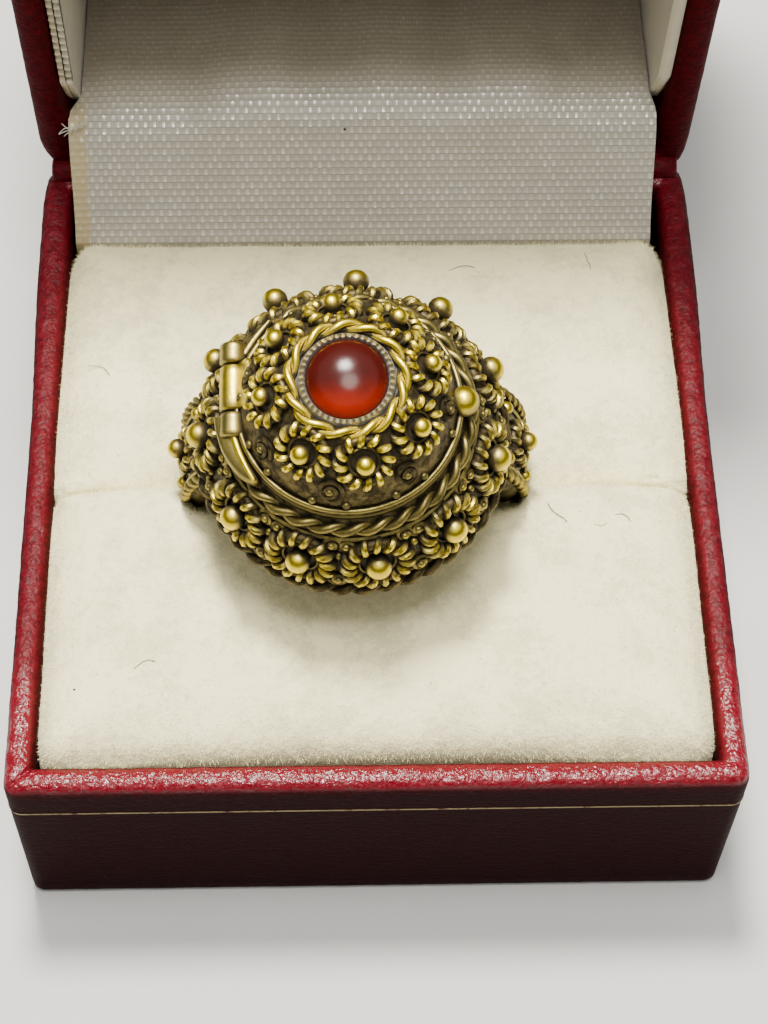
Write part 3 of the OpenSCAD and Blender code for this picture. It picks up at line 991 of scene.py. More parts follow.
def shoulder(form, side, sizes, chance):
    """Wires, ropes, scrolls and a rosette on one shoulder."""
    wing(form, side)

    def out_way(angles, y):
        return unit(on_wing(angles, y, 1, side) - on_wing(angles, y, 0, side))

    angles = np.linspace(-16, 41, 60)
    for y in EDGE_ROPES:
        rope(form, on_wing(angles, y, 0.12, side), out_way(angles, y), 0.24, 1.05, 0.5)
    inner = np.linspace(-15, 40, 56)
    for y in EDGE_WIRES:
        tube(form, on_wing(inner, y, 0.05, side), 0.2, 6, away=out_way(inner, y), wear=0.35)
    low = np.linspace(-15, 8, 24)
    for number in range(-2, 3):
        spread = np.interp(low, (-15, 8), (0.42, 0.86)) * number
        way = out_way(low, spread)
        rope(form, on_wing(low, spread, 0.16, side), way, 0.17, 0.72, 0.5, 6)
        ball(form, on_wing(-16.3, spread[0], 0.15, side), 0.3, 0.8, 7, 10)
    high = np.linspace(27, 42, 18)
    for number in range(-2, 3):
        spread = np.interp(high, (27, 42), (0.62, 0.95)) * number
        rope(form, on_wing(high, spread, 0.14, side), out_way(high, spread), 0.16, 0.7, 0.45, 6)
    face = Matrix.Rotation(math.radians(90), 4, "Y")
    swing = Matrix.Rotation(-math.radians(SHOULDER_ROSETTE.angle), 4, "Y")
    place = Matrix.Translation((WING_R + SHOULDER_ROSETTE.lift, WING_SHIFT, 0))
    mirror = Matrix.Diagonal((side, 1, 1, 1))
    rise = Matrix.Translation((0, 0, WING_RISE))
    small = rosette(sizes.lid_coil * 0.8, sizes.lid_turn, sizes.lid_wire, sizes.lid_granule * 1.1,
                    sizes.lid_turns - 1, 0.5, chance)
    form.join(small, mirror @ rise @ swing @ place @ face)
    for y, angle in WING_BALLS:
        ball(form, on_wing(angle, y, 0.25, side), 0.52, 0.9, 9, 14)
        curl = scroll(1.4, 0.62, sizes.scroll_wire * 0.8)
        swing = Matrix.Rotation(-math.radians(angle), 4, "Y")
        place = Matrix.Translation((WING_R + 0.05, WING_SHIFT + y, 0))
        form.join(curl, mirror @ rise @ swing @ place @ face)


def cup(form, sizes, chance):
    """The cup's shell, its ropes and everything that is soldered round it."""
    corners = [(0, FOOT_Z), (FOOT_R, FOOT_Z), (FOOT_R, 10.3), (8.5, 14.9), (7.7, MOUTH_Z),
               (6.8, MOUTH_Z), (6.8, 14.9), (7.6, 14.3), (9.2, 10.2), (0, 10.2)]
    radii = [0, 0.3, 0.25, 0.8, 0.15, 0.15, 0.3, 0.3, 0.3, 0]
    lathe(form, fillet(corners, radii), 120, wear=0.05)
    rope_ring(form, FOOT_R + 0.12, 9.72, sizes.foot_strand, FOOT_LOBES, 0.1)
    rope_ring(form, 8.15, 15.45, sizes.mouth_strand, MOUTH_LOBES, 0.38)
    tube(form, circle_path(8.62, 14.72, 120), 0.2, 7, True, wear=0.35)
    tube(form, circle_path(10.32, 10.5, 120), 0.2, 7, True, wear=0.25)
    for angle in CUP_ANGLES:
        part = rosette(sizes.cup_coil, sizes.cup_turn, sizes.cup_wire, sizes.cup_granule,
                       sizes.cup_turns, 0.6, chance, 0.8 + 0.3 * math.sin(math.radians(angle)))
        form.join(part, matrix_to((CUP_ROSETTE.out, 0, CUP_ROSETTE.up), math.radians(angle),
                                  CUP_ROSETTE.tilt))
    lean = math.radians(CUP_LEAN)
    for angle in between(CUP_ANGLES):
        turn = math.radians(angle)
        for shift, height, out in CUP_SCROLLS:
            curl = scroll(1.3, 0.6, sizes.scroll_wire, 0.35)
            spin = Matrix.Rotation(chance.uniform(0, 6), 4, "Z")
            place = matrix_to((out, 0, height), turn + math.radians(shift), lean)
            form.join(curl, place @ spin)
        for shift, height, out, radius in CUP_BEADS:
            place = matrix_to((out, 0, height), turn + math.radians(shift), lean)
            ball(form, place.translation, radius, 0.7, 7, 12)


def knuckle_foot(form, low_y, high_y):
    """The block that carries an outer knuckle on the cup's mouth."""
    inner = RING_HINGE.x + KNUCKLE_R * 0.8
    outline = [(RING_HINGE.x - KNUCKLE_R, low_y), (inner, low_y), (inner, high_y),
               (RING_HINGE.x - KNUCKLE_R, high_y)]
    slab(form, outline, 14.4, RING_HINGE.z, 0.12, 0.2)


def crescent(form, start, end, wide, rubbed):
    """A knuckle's leaf: a plate that follows the mouth and tapers to a point, with a ridge."""
    turn = np.radians(np.linspace(start, end, 26))
    taper = np.sqrt(np.clip(1 - np.linspace(0, 1, len(turn)) ** 2, 0.004, 1))
    inner, outer = LEAF_R - 0.3 * taper, LEAF_R + wide * taper
    section = ((inner, LEAF_LOW), (inner, LEAF_HIGH), (inner + 0.12, 17.12),
               (outer - 0.12, 16.95), (outer, 16.8), (outer, LEAF_LOW))
    rows = [around(radius, turn, height) for radius, height in section]
    first = form.count
    form.add(np.array(rows), grid(len(rows), len(turn), True, False), wear=rubbed * 0.45)
    close_ends(form, first, len(rows), len(turn))
    ridge = around(inner + 0.3, turn, 17.05)
    tube(form, ridge[2:-1], 0.24 * taper[2:-1] + 0.05, 8, wear=rubbed)


def make_ring_body(context):
    """The shank, shoulders and cup, and all that is soldered to them."""
    filigree, _, _, colours = settings(context)
    chance = np.random.default_rng(SEED)
    form = Form()
    shank(form)
    for side in (1, -1):
        shoulder(form, side, filigree, chance)
    cup(form, filigree, chance)
    knuckles = ((-KNUCKLE_SPLIT - FRONT_KNUCKLE, -KNUCKLE_SPLIT),
                (KNUCKLE_SPLIT, KNUCKLE_SPLIT + BACK_KNUCKLE))
    for low_y, high_y in knuckles:
        low_y, high_y = low_y + KNUCKLE_SHIFT, high_y + KNUCKLE_SHIFT
        barrel(form, low_y, high_y, KNUCKLE_R, RING_HINGE, 0.5)
        knuckle_foot(form, low_y, high_y)
    crescent(form, 184, 220, 1.15, 1.0)
    crescent(form, 153, 130, 0.7, 0.45)
    piece = make_piece("ring_filigree", form, ring_matrix())
    gilt = material_once("worn_gilding", gilt_finish, colours)
    ready(piece, "root", "antique_gilt", gilt, "ring_body")


def on_dome(angle, tilt):
    """A place on the dome's outside, by degrees round it and degrees down from its top."""
    lean = math.radians(tilt)
    return matrix_to((DOME_R * math.sin(lean), 0, DOME_Z + DOME_R * math.cos(lean)),
                     math.radians(angle), lean)


def dome(form, sizes, chance):
    """The lid's shell with its rim band, rosettes, scrolls and small balls."""
    top = math.acos(BEZEL_R / DOME_R)
    rise = np.linspace(math.asin((RIM_BAND_TOP - DOME_Z) / DOME_R), top, 24)
    outer = [(DOME_R * math.cos(a), DOME_Z + DOME_R * math.sin(a)) for a in rise]
    inner_r = DOME_R - DOME_WALL
    inner = [(inner_r * math.cos(a), DOME_Z + inner_r * math.sin(a))
             for a in np.linspace(math.pi / 2, math.asin((RIM_BAND_Z - DOME_Z) / inner_r), 20)]
    band = fillet([(inner[-1][0], RIM_BAND_Z), (MOUTH_R, RIM_BAND_Z), (MOUTH_R, RIM_BAND_TOP)],
                  [0, 0.15, 0])
    shell = [*map(tuple, band), *outer, (BEZEL_R, SEAT_Z), (0, SEAT_Z), *inner]
    lathe(form, shell, 128, wear=0.12)
    tube(form, circle_path(MOUTH_R - 0.12, RIM_BAND_TOP + 0.02, 140), 0.2, 8, True, wear=0.4)
    tube(form, circle_path(MOUTH_R - 0.02, RIM_BAND_Z + 0.12, 140), 0.13, 6, True, wear=0.5)
    for angle in LID_ANGLES:
        part = rosette(sizes.lid_coil, sizes.lid_turn, sizes.lid_wire, sizes.lid_granule,
                       sizes.lid_turns, 0.85, chance, 0.8)
        form.join(part, matrix_to((LID_ROSETTE.out, 0, LID_ROSETTE.up), math.radians(angle),
                                  LID_ROSETTE.tilt))
    for angle in between(LID_ANGLES):
        form.join(scroll(1.7, 0.95, sizes.scroll_wire, 0.12), on_dome(angle, DOME_SCROLL_TILT))
        for shift in (-9, 9):
            low = on_dome(angle + shift, DOME_BEAD_TILT)
            ball(form, low.translation, 0.32, 0.4, 7, 12)


def bezel(form, sizes):
    """The stone's seat: a collar, a band of fine teeth and a rope round it."""
    lathe(form, fillet([(0, COLLAR_Z), (COLLAR_R, COLLAR_Z), (COLLAR_R, 21.95), (2.75, 21.95),
                        (2.75, SEAT_Z), (0, SEAT_Z)], [0, 0, 0.15, 0, 0, 0]), 72, wear=0.3)
    rope_ring(form, 3.72, 22.1, sizes.stone_strand, STONE_LOBES, 0.85, 9)
    teeth, each = 44, 6
    turn = np.linspace(0, 2 * np.pi, teeth * each, endpoint=False)
    wave = 0.5 + 0.5 * np.cos(turn * teeth)
    section = ((3.22, SEAT_Z, 0), (3.22, 22.15, 0), (3.1, 22.36, 0.16),
               (2.84, 22.42, 0.2), (2.72, 22.15, 0), (2.72, SEAT_Z, 0))
    rows = [around(radius, turn, height + lift * wave) for radius, height, lift in section]
    form.add(np.array(rows), grid(len(rows), len(turn), True, True), wear=SILVER_WEAR)


def lid_leaf(form):
    """The middle knuckle's plate, which lies over the rim band and up the dome."""
    half = KNUCKLE_SPLIT - KNUCKLE_GAP
    outline = fillet([(-half, -0.2), (half, -0.2), (half, 1.6), (0, 2.1), (-half, 1.6)],
                     [0, 0, 0.4, 1.2, 0.4])
    lie = Matrix.Translation((RING_HINGE.x + 0.5, KNUCKLE_SHIFT, RING_HINGE.z + 0.6))
    turn = Matrix.Rotation(math.radians(90), 4, "Z")
    lean = Matrix.Rotation(math.radians(-62), 4, "Y")
    slab(form, outline, -0.1, 0.28, 0.08, 0.75, lie @ lean @ turn @ Matrix.Diagonal((1, -1, 1, 1)))


def make_ring_lid(context):
    """The hinged dome with its bezel, thumb ball and middle knuckle."""
    filigree, _, _, colours = settings(context)
    chance = np.random.default_rng(SEED + 1)
    form = Form()
    dome(form, filigree, chance)
    bezel(form, filigree)
    neck = Form()
    lathe(neck, [(0, -0.9), (0.62, -0.9), (0.5, -0.2), (0.62, 0.3), (0, 0.3)], 20, wear=0.3)
    form.join(neck, Matrix.Translation((MOUTH_R - 0.2, 0, 17.1)))
    ball(form, (MOUTH_R + 0.1, 0, 17.45), 1.05, 1.0, 14, 24)
    half = KNUCKLE_SPLIT - KNUCKLE_GAP
    barrel(form, KNUCKLE_SHIFT - half, KNUCKLE_SHIFT + half, KNUCKLE_R, RING_HINGE, 0.75)
    lid_leaf(form)
    piece = make_piece("dome_lid", form, ring_matrix())
    gilt = material_once("worn_gilding", gilt_finish, colours)
    ready(piece, "ring_lid", "antique_gilt", gilt, "ring_lid")


def make_ring_pin(context):
    """The pin of the dome's hinge."""
    form = Form()
    barrel(form, KNUCKLE_SHIFT - PIN_REACH, KNUCKLE_SHIFT + PIN_REACH, PIN_R, RING_HINGE, 0.6)
    piece = make_piece("dome_hinge_pin", form, ring_matrix())
    gilt = material_once("worn_gilding", gilt_finish, context.scene.ring_finishes)
    ready(piece, "root", "antique_gilt", gilt, "ring_hinge_pin")


def make_stone(context):
    """A round cabochon with a low girdle and a high polished dome."""
    girdle = SEAT_Z + STONE_GIRDLE
    belly = STONE_TOP - SEAT_Z - STONE_GIRDLE
    rise = np.linspace(0, math.pi / 2, 18)
    arch = [(STONE_R * math.cos(a), girdle + belly * math.sin(a)) for a in rise]
    under = [(0, SEAT_Z + 0.03), (STONE_R - 0.1, SEAT_Z + 0.03), (STONE_R, SEAT_Z + 0.15)]
    form = Form()
    lathe(form, [*under, *arch], 72, wear=0.0)
    piece = make_piece("carnelian", form, ring_matrix(), 80)
    stone = material_once("polished_stone", stone_finish, context.scene.ring_finishes)
    ready(piece, "ring_lid", "carnelian", stone, "cabochon")


# The box


FRONT_STEPS = 9
BACK_STEPS = 24
MITRE_REACH = 3

# From the middle in X: where the side walls start to be told apart, and where their rims are painted
# darker and duller as painted shade
SIDE_FROM = 18
SIDE_FACE = (24.0, 24.6)
SIDE_PAINTED_SHADE = 0.48
# Painted light that lifts the lid's faces above the base's, and the wear of the lid's rims
LID_PAINTED_FACE_LIGHT = 0.45
LID_RIM_WEAR = 0.5

# The hinge rolls, as places along X to each side of the middle, and their radii
LID_ROLL = 11.7
BASE_ROLL_START = 12.0
BASE_ROLL_END = 22.0
ROLL_R = 1.2
END_ROLL_R = 1.15

# How far the walls bow out, in millimetres, and how much thicker they get
BASE_BOW = 0.36
BASE_BOW_RUN = (2, 18)
BASE_THICKER = 0.5
LID_BOW = 0.4
LID_CORNER_IN = 0.9
LID_CORNER_RUN = 3.6
LID_THICKER = 0.4

# Widths of the covering's wrinkles and of its finer creases
WRINKLE = 1.1
CREASE = 0.55

# Inset, drop below the rim, and wear of the rim's rounded section; the wear also paints shade, so
# lower values paint their places darker
RIM_SECTION = ((2.08, 0.85, 0.3), (1.98, 0.52, 0.35), (1.8, 0.25, 0.5), (1.58, 0.08, 0.9),
               (1.35, 0.0, 1.0), (1.1, -0.04, 1.0), (0.85, -0.04, 1.0), (0.6, 0.0, 1.0),
               (0.4, 0.09, 0.95), (0.22, 0.24, 0.8), (0.1, 0.42, 0.6), (0.03, 0.65, 0.4),
               (0.0, 0.95, 0.25))
END_SECTION = ((0.0, 0.6), (0.1, 0.25), (0.3, 0.05), (0.6, 0.0))


def plan(case, inset, spacing=0.26):
    """The box's outline at that inset, from the front left corner round to it again.

    Each entry of corners is a side, an end, the two radii and the count of points.
    """
    half, front, back = HALF_WIDTH - inset, FRONT_Y + inset, BACK_Y - inset
    small = max(case.corner - inset, 0.15)
    soft_x = max(case.back_corner_x - inset * 0.4, 0.2)
    soft_y = max(case.back_corner_y - inset, 0.4)
    corners = [(1, -1, small, small, FRONT_STEPS), (1, 1, soft_x, soft_y, BACK_STEPS),
               (-1, 1, soft_x, soft_y, BACK_STEPS), (-1, -1, small, small, FRONT_STEPS)]
    line = []
    for side, end, wide, deep, count in corners:
        edge_y = back if end > 0 else front
        turn = np.linspace(0, math.pi / 2, count)
        if side * end > 0:
            x, y = np.cos(turn), np.sin(turn)
        else:
            x, y = np.sin(turn), np.cos(turn)
        line.append(np.stack([side * (half - wide + wide * x), edge_y + end * deep * (y - 1)], -1))
    width, depth = 2 * HALF_WIDTH, BACK_Y - FRONT_Y
    points = []
    for index, (corner, run) in enumerate(zip(line, (width, depth, width, depth))):
        before = line[index - 1][-1]
        steps = int(run / spacing)
        t = np.linspace(0, 1, steps + 1)[1:-1, None]
        points += [before + (corner[0] - before) * t, corner]
    return np.concatenate(points)


def crinkled(points, height, seed):
    """Moves a net's points out and in along its normals, as glued covering paper wrinkles."""
    along = np.roll(points, -1, 1) - np.roll(points, 1, 1)
    across = np.gradient(points, axis=0)
    normal = unit(np.cross(along, across))
    offset = np.zeros(points.shape[:2])
    for row, col in zip(*np.nonzero(np.broadcast_to(height > 0, offset.shape))):
        place = Vector(points[row, col])
        wide = noise.noise(place / WRINKLE + Vector((seed, 0, 0)))
        fine = 1 - abs(noise.noise(place / CREASE + Vector((0, seed, 0)))) * 2.2
        offset[row, col] = 0.9 * wide + 0.5 * fine
    return points + normal * (offset * height)[..., None]


def mitre_groove(points, depth):
    """Presses the covering's diagonal fold into the rim at the front left corner."""
    line = np.abs((points[..., 0] + HALF_WIDTH) - (points[..., 1] - FRONT_Y)) / math.sqrt(2)
    beside = points[..., 0] < -HALF_WIDTH + MITRE_REACH
    close = beside & (points[..., 1] < FRONT_Y + MITRE_REACH)
    top = points[..., 2] > RIM_Z - 0.5
    points[..., 2] -= np.where(close & top, depth * np.exp(-(line / 0.16) ** 2), 0)
    return points


def bowed(line, reach):
    """Moves an outline's side walls out by that reach; its front and back stay."""
    line[:, 0] += np.sign(line[:, 0]) * reach * (np.abs(line[:, 0]) > SIDE_FROM)
    return line


def covered_tray(case, profile, rims, seed, bow, groove=0.0):
    """A tray of covered board, from the inner floor over the rim to the underside.

    bow gives how far each place moves out to the sides, and the side walls get less wear as painted
    shade, so their rims are painted darker and less glossy.
    """
    rows = []
    for inset, z in profile:
        line = plan(case, inset)
        line = bowed(line, bow(line, inset))
        rows.append(np.column_stack([line, np.full(len(line), z)]))
    points = np.array(rows)
    columns = points.shape[1]
    points = crinkled(points, rims[:, None] * case.crinkle, seed)
    if groove:
        points = mitre_groove(points, groove)
    form = Form()
    last = (len(profile) - 1) * columns
    ends = [(0, 0, profile[0][1]), (0, 0, profile[-1][1])]
    count = points.shape[0] * columns
    # Painted shade: the side walls' rims lose wear, so they are painted darker and less glossy
    beside = smooth_step(np.abs(points[..., 0]), *SIDE_FACE)
    beside = beside * smooth_step(points[..., 1], FRONT_Y + 3, FRONT_Y + 12)
    wear = np.concatenate([(rims[:, None] * (1 - SIDE_PAINTED_SHADE * beside)).ravel(), [0, 0]])
    triangles = np.concatenate([fan(np.arange(columns), count),
                                fan(np.arange(last, last + columns), count + 1)])
    form.add(np.concatenate([points.reshape(-1, 3), ends]), grid(*points.shape[:2], False, True),
             triangles, wear)
    return form


def rim_profile(case, floor_z, rim_z, end_z, away):
    """Inset and height of a wall's section, and its wear, whose low values on the outer faces paint
    them dark as painted shade; away is 1 for a rim on top, else -1.
    """
    section = [(case.wall, floor_z), (case.wall, rim_z - 3.0 * away),
               (case.wall, rim_z - 1.3 * away)]
    rims = [0.0, 0.15, 0.3]
    for inset, drop, wear in RIM_SECTION:
        section.append((inset, rim_z - drop * away))
        rims.append(wear)
    wall = np.linspace(rim_z - 1.9 * away, end_z + 1.6 * away, 14)
    section += [(0.0, z) for z in wall]
    # Painted shade: this low wear paints the outer faces near black
    rims += [0.12] * len(wall)
    for inset, rise in END_SECTION:
        section.append((inset, end_z + rise * away))
        rims.append(0.2)
    return section, np.array(rims)


def hinge_roll(form, low, high, radius, wear=0.2):
    """A covered roll of the box's hinge, between two places along X."""
    part = Form()
    lathe(part, [(0, low), (radius - 0.15, low), (radius, low + 0.15), (radius, high - 0.15),
                 (radius - 0.15, high), (0, high)], 32, wear=wear)
    form.join(part, Matrix.Translation(HINGE) @ Matrix.Rotation(math.radians(90), 4, "Y"))


def base_bow(case, line, inset):
    """How far the base's walls stand out to the sides, towards its back."""
    return smooth_step(line[:, 1], *BASE_BOW_RUN) * (BASE_BOW - BASE_THICKER * inset / case.wall)


def make_case_base(context):
    """The covered base of the box, with its hinge rolls."""
    _, case, _, colours = settings(context)
    section, rims = rim_profile(case, case.board, RIM_Z, 0.0, 1)
    form = covered_tray(case, section, rims, SEED, partial(base_bow, case), 0.16)
    # The rolls' wear also sets their painted shade: the lower it is, the darker they are painted
    for low, high, radius, wear in ((BASE_ROLL_START, BASE_ROLL_END, ROLL_R, 0.2),
                                    (BASE_ROLL_END, HALF_WIDTH - 0.4, END_ROLL_R, 0.45)):
        hinge_roll(form, low, high, radius, wear)
        hinge_roll(form, -high, -low, radius, wear)
    piece = make_piece("box_base", form, soft_angle=60)
    leather = material_once("red_covering", leatherette_finish, colours)
    ready(piece, "root", "red_leatherette", leather, "case_base")


def make_tooled_line(context):
    """The thin gold line that is pressed into the covering all round the base."""
    _, case, _, colours = settings(context)
    form = Form()
    rows = []
    middle = RIM_Z - case.line_drop
    for inset, shift in ((0.04, -0.5), (-0.045, -0.4), (-0.045, 0.4), (0.04, 0.5)):
        line = plan(case, inset, 0.5)
        line = bowed(line, base_bow(case, line, inset))
        rows.append(np.column_stack([line, np.full(len(line), middle + shift * case.line_width)]))
    points = np.array(rows)
    form.add(points, grid(4, points.shape[1], True, True), wear=0.5)
    piece = make_piece("tooled_line", form)
    ready(piece, "root", "red_leatherette", material_once("tooled_line", gold_line_finish, colours))


def lid_height():
    """Height of the closed lid over the hinge line, from the frame's open lid."""
    return (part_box("case_lid")[1].y / MM - HINGE.y) / math.sin(LID_OPEN)


def lid_bow(case, line, inset):
    """How far the lid's walls stand out; less at the left back corner, thicker at the back."""
    corner = np.clip((line[:, 1] - BACK_Y + LID_CORNER_RUN) / LID_CORNER_RUN, 0, 1) ** 2
    corner = corner * (line[:, 0] < 0)
    thick = smooth_step(line[:, 1], BACK_Y - 8, BACK_Y - 5)
    depth = inset / case.wall
    return LID_BOW - LID_CORNER_IN * corner * (1 - depth) - (LID_BOW + LID_THICKER * thick) * depth


def make_case_lid(context):
    """The covered lid of the box, as it stands open."""
    _, case, _, colours = settings(context)
    top = RIM_Z + lid_height()
    section, rims = rim_profile(case, top - case.board, RIM_Z + LID_GAP, top, -1)
    form = covered_tray(case, section, rims * LID_RIM_WEAR, SEED + 3, partial(lid_bow, case))
    hinge_roll(form, -LID_ROLL, LID_ROLL, ROLL_R)
    piece = make_piece("box_lid", form, opened_matrix(), 60)
    # The lid's covering is a lighter copy of the base's: painted light lifts its faces
    leather = material_once("red_lid_covering_painted_light", leatherette_finish, colours, "red_lid_covering_painted_light",
                            LID_PAINTED_FACE_LIGHT)
    ready(piece, "case_lid", "red_leatherette", leather, "case_lid")


def dress_hinge_pin(context):
    """Gives the frame's own hinge pin its steel."""
    pin = frame["nodes"]["case_hinge_pin"]
    pin.data.materials.clear()
    pin.data.materials.append(material_once("steel_wire", steel_finish, context.scene.ring_finishes))


def pinked(y1, y2, z, pitch, tooth, shift):
    """A zigzag edge from y1 to y2, whose teeth rise over z."""
    places = np.arange(y1, y2, pitch / 2)
    wave = np.where((np.arange(len(places)) + shift) % 2 == 0, 0.0, tooth)
    return [(y, z + rise) for y, rise in zip(places, wave)]


def make_lid_lining(context):
    """Covered card on the lid's side walls and front wall, in two layers on the left."""
    _, case, _, colours = settings(context)
    inner_x, inner_y = HALF_WIDTH - case.wall - 0.04, FRONT_Y + case.wall + 0.04
    low, top = RIM_Z + LID_GAP + 0.45, RIM_Z + lid_height() - case.board - 0.15
    end_y = BACK_Y - case.wall - 3.0
    form = Form()
    upright = Matrix(((0, 0, 1, 0), (1, 0, 0, 0), (0, 1, 0, 0), (0, 0, 0, 1)))
    cut = [(end_y - 5.6, low), (end_y - 0.5, low + 2.3), (end_y, low + 3.4), (end_y, top),
           (inner_y + 0.05, top)]
    right = fillet([(inner_y + 0.05, low), *cut], [0.2, 1.5, 0.8, 0.8, 0.2, 0.2])
    slab(form, right, inner_x - 1.0, inner_x, 0.28, 0.25, upright)
    layers = ((-inner_x, -inner_x + 0.45), (-inner_x + 0.5, -inner_x + 1.0))
    for layer, (start, stop) in enumerate(layers):
        edge = pinked(inner_y + 0.05, end_y - 5.8, low + 0.12 * layer, 0.8, 0.26, layer)
        slab(form, [*edge, *cut], start, stop, 0.06, 0.3 + 0.3 * (layer == 0), upright)
    across = [(-inner_x + 1.05, low), (inner_x - 1.05, low), (inner_x - 1.05, top),
              (-inner_x + 1.05, top)]
    level = Matrix(((1, 0, 0, 0), (0, 0, -1, 0), (0, 1, 0, 0), (0, 0, 0, 1)))
    slab(form, across, -inner_y - 0.95, -inner_y, 0.28, 0.2, level)
    piece = make_piece("lid_card", form, opened_matrix(), 40)
    card = material_once("covered_card", card_finish, colours)
    ready(piece, "case_lid", "lining_card", card, "lid_lining")


# The cushion and the satin


# The slot: where it closes beside the ring, how far it opens, its lips and the hollow along it
SLOT_REACH = (12.1, 13.0)
SLOT_AHEAD = 1.9
SLOT_BEHIND = 3.5
SLOT_SHUT = 0.05
SLOT_LIP = 1.1
SLOT_HOLLOW = 3.2
DROOP_FROM = 17
FRONT_CORNER_R = 0.8
BACK_CORNER_R = 1.6


def slot_gap(x):
    """How far the slot stands open in front of its line and behind it: shut beside the ring."""
    off = np.abs(x - RING_PLACE.x)
    open_share = 1 - smooth_step(off, *SLOT_REACH)
    middle = 0.8 + 0.2 * smooth_step(off, 2, 10)
    return (SLOT_SHUT + SLOT_AHEAD * open_share * middle,
            SLOT_SHUT + SLOT_BEHIND * open_share * middle)


def corner_pull(x, half, radius):
    """How far a pad's front or back edge lies inside its line, near a corner of that radius."""
    into = max(abs(x) - half + radius, 0)
    return radius - math.sqrt(max(radius ** 2 - into ** 2, 0))


def cushion_top(case, cloth):
    """The net of the pads' upper side: a row of points from front to back for each x."""
    edge, lip, slot = cloth.edge, SLOT_LIP, RING_PLACE.y
    half, front = HALF_WIDTH - case.wall - 0.1, FRONT_Y + case.wall + 0.1
    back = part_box("cushion")[1].y / MM
    top = RIM_Z + cloth.rise
    arc = np.linspace(0, math.pi / 2, 9)
    side = edge * (1 - np.cos(np.linspace(0, math.pi / 2, 10)))
    xs = np.concatenate([-half + side, np.linspace(-half + edge, half - edge, 90)[1:-1],
                         half - side[::-1]])
    rows = []
    for x in xs:
        into = np.clip(abs(x) - (half - edge), 0, edge)
        side_drop = edge - math.sqrt(max(edge ** 2 - into ** 2, 0))
        ahead, behind = slot_gap(x)
        first = front + corner_pull(x, half, FRONT_CORNER_R)
        last = back - corner_pull(x, half, BACK_CORNER_R) - edge
        y = [*(first + edge * (1 - np.cos(arc)))]
        z = [*(-edge * (1 - np.sin(arc)))]
        flat = np.linspace(first + edge, slot - ahead - lip, 46)[1:]
        y += [*flat]
        z += [0.0] * len(flat)
        y += [*(slot - ahead - lip + lip * np.sin(arc[1:]))]
        z += [*(-lip * (1 - np.cos(arc[1:])))]
        deep = np.linspace(-lip, -cloth.slot_depth, 7)[1:]
        y += [*np.linspace(slot - ahead, slot - ahead * 0.8 - 0.02, 6)]
        z += [*deep]
        y += [slot, *np.linspace(slot + behind * 0.8 + 0.02, slot + behind, 6)]
        z += [-cloth.slot_depth - 0.2, *deep[::-1]]
        y += [*(slot + behind + lip - lip * np.cos(arc[:-1]))]
        z += [*(-lip * (1 - np.sin(arc[:-1])))]
        flat = np.linspace(slot + behind + lip, last, 40)[:-1]
        y += [*flat]
        z += [0.0] * len(flat)
        y += [*(last + edge * np.sin(arc))]
        z += [*(-edge * (1 - np.cos(arc)))]
        y, z = np.array(y), np.array(z)
        in_front = y < slot
        middle = np.where(in_front, (first + slot) / 2, (slot + back) / 2)
        reach = np.where(in_front, (slot - first) / 2, (back - slot) / 2)
        swell = np.clip(1 - ((y - middle) / reach) ** 2, 0, 1) ** 0.7
        swell = swell * (1 - (abs(x) / half) ** 4)
        near = np.exp(-((y - slot) / SLOT_HOLLOW) ** 2)
        droop = smooth_step(np.abs(x), DROOP_FROM, half)
        lift = np.where(in_front, 0.35 * near * (1 - 2.2 * droop), -0.75 * near * (1 - 0.4 * droop))
        height = top + z + cloth.crown * swell + lift - side_drop
        rows.append(np.stack([np.full(len(y), x), y, height], -1))
    return np.array(rows)


def closed_down(points, floor_z):
    """Closes a net of points down to a flat underside."""
    rows, columns = points.shape[:2]
    index = np.arange(rows * columns).reshape(rows, columns)
    rim = np.concatenate([index[:-1, 0], index[-1, :-1], index[:0:-1, -1], index[0, :0:-1]])
    form = Form()
    flat = points.reshape(-1, 3)
    skirt = flat[rim].copy()
    skirt[:, 2] = floor_z
    count = len(flat)
    lower = count + np.arange(len(rim))
    sides = np.stack([rim, np.roll(rim, -1), np.roll(lower, -1), lower], -1)
    centre = [[flat[:, 0].mean(), flat[:, 1].mean(), floor_z]]
    form.add(np.concatenate([flat, skirt, centre]), np.concatenate([grid(rows, columns), sides]),
             fan(lower, count + len(rim)))
    return form


SWELL_SCALE = 40
SWELL_FRAMES = 20
SWELL_PRESSURE = 4
SWELL_CAP = 0.45
SLOT_HELD = 0.3
HELD_DEPTH = 3.0
NAP_DEPTH = 2.0

# Heights and widths of the pads' unevenness, and where a fibre's corners stand, in radians
PAD_WAVES = ((0.10, 4.5), (0.03, 1.3))
FIBRE_CORNERS = (0, 2.094, 4.189)


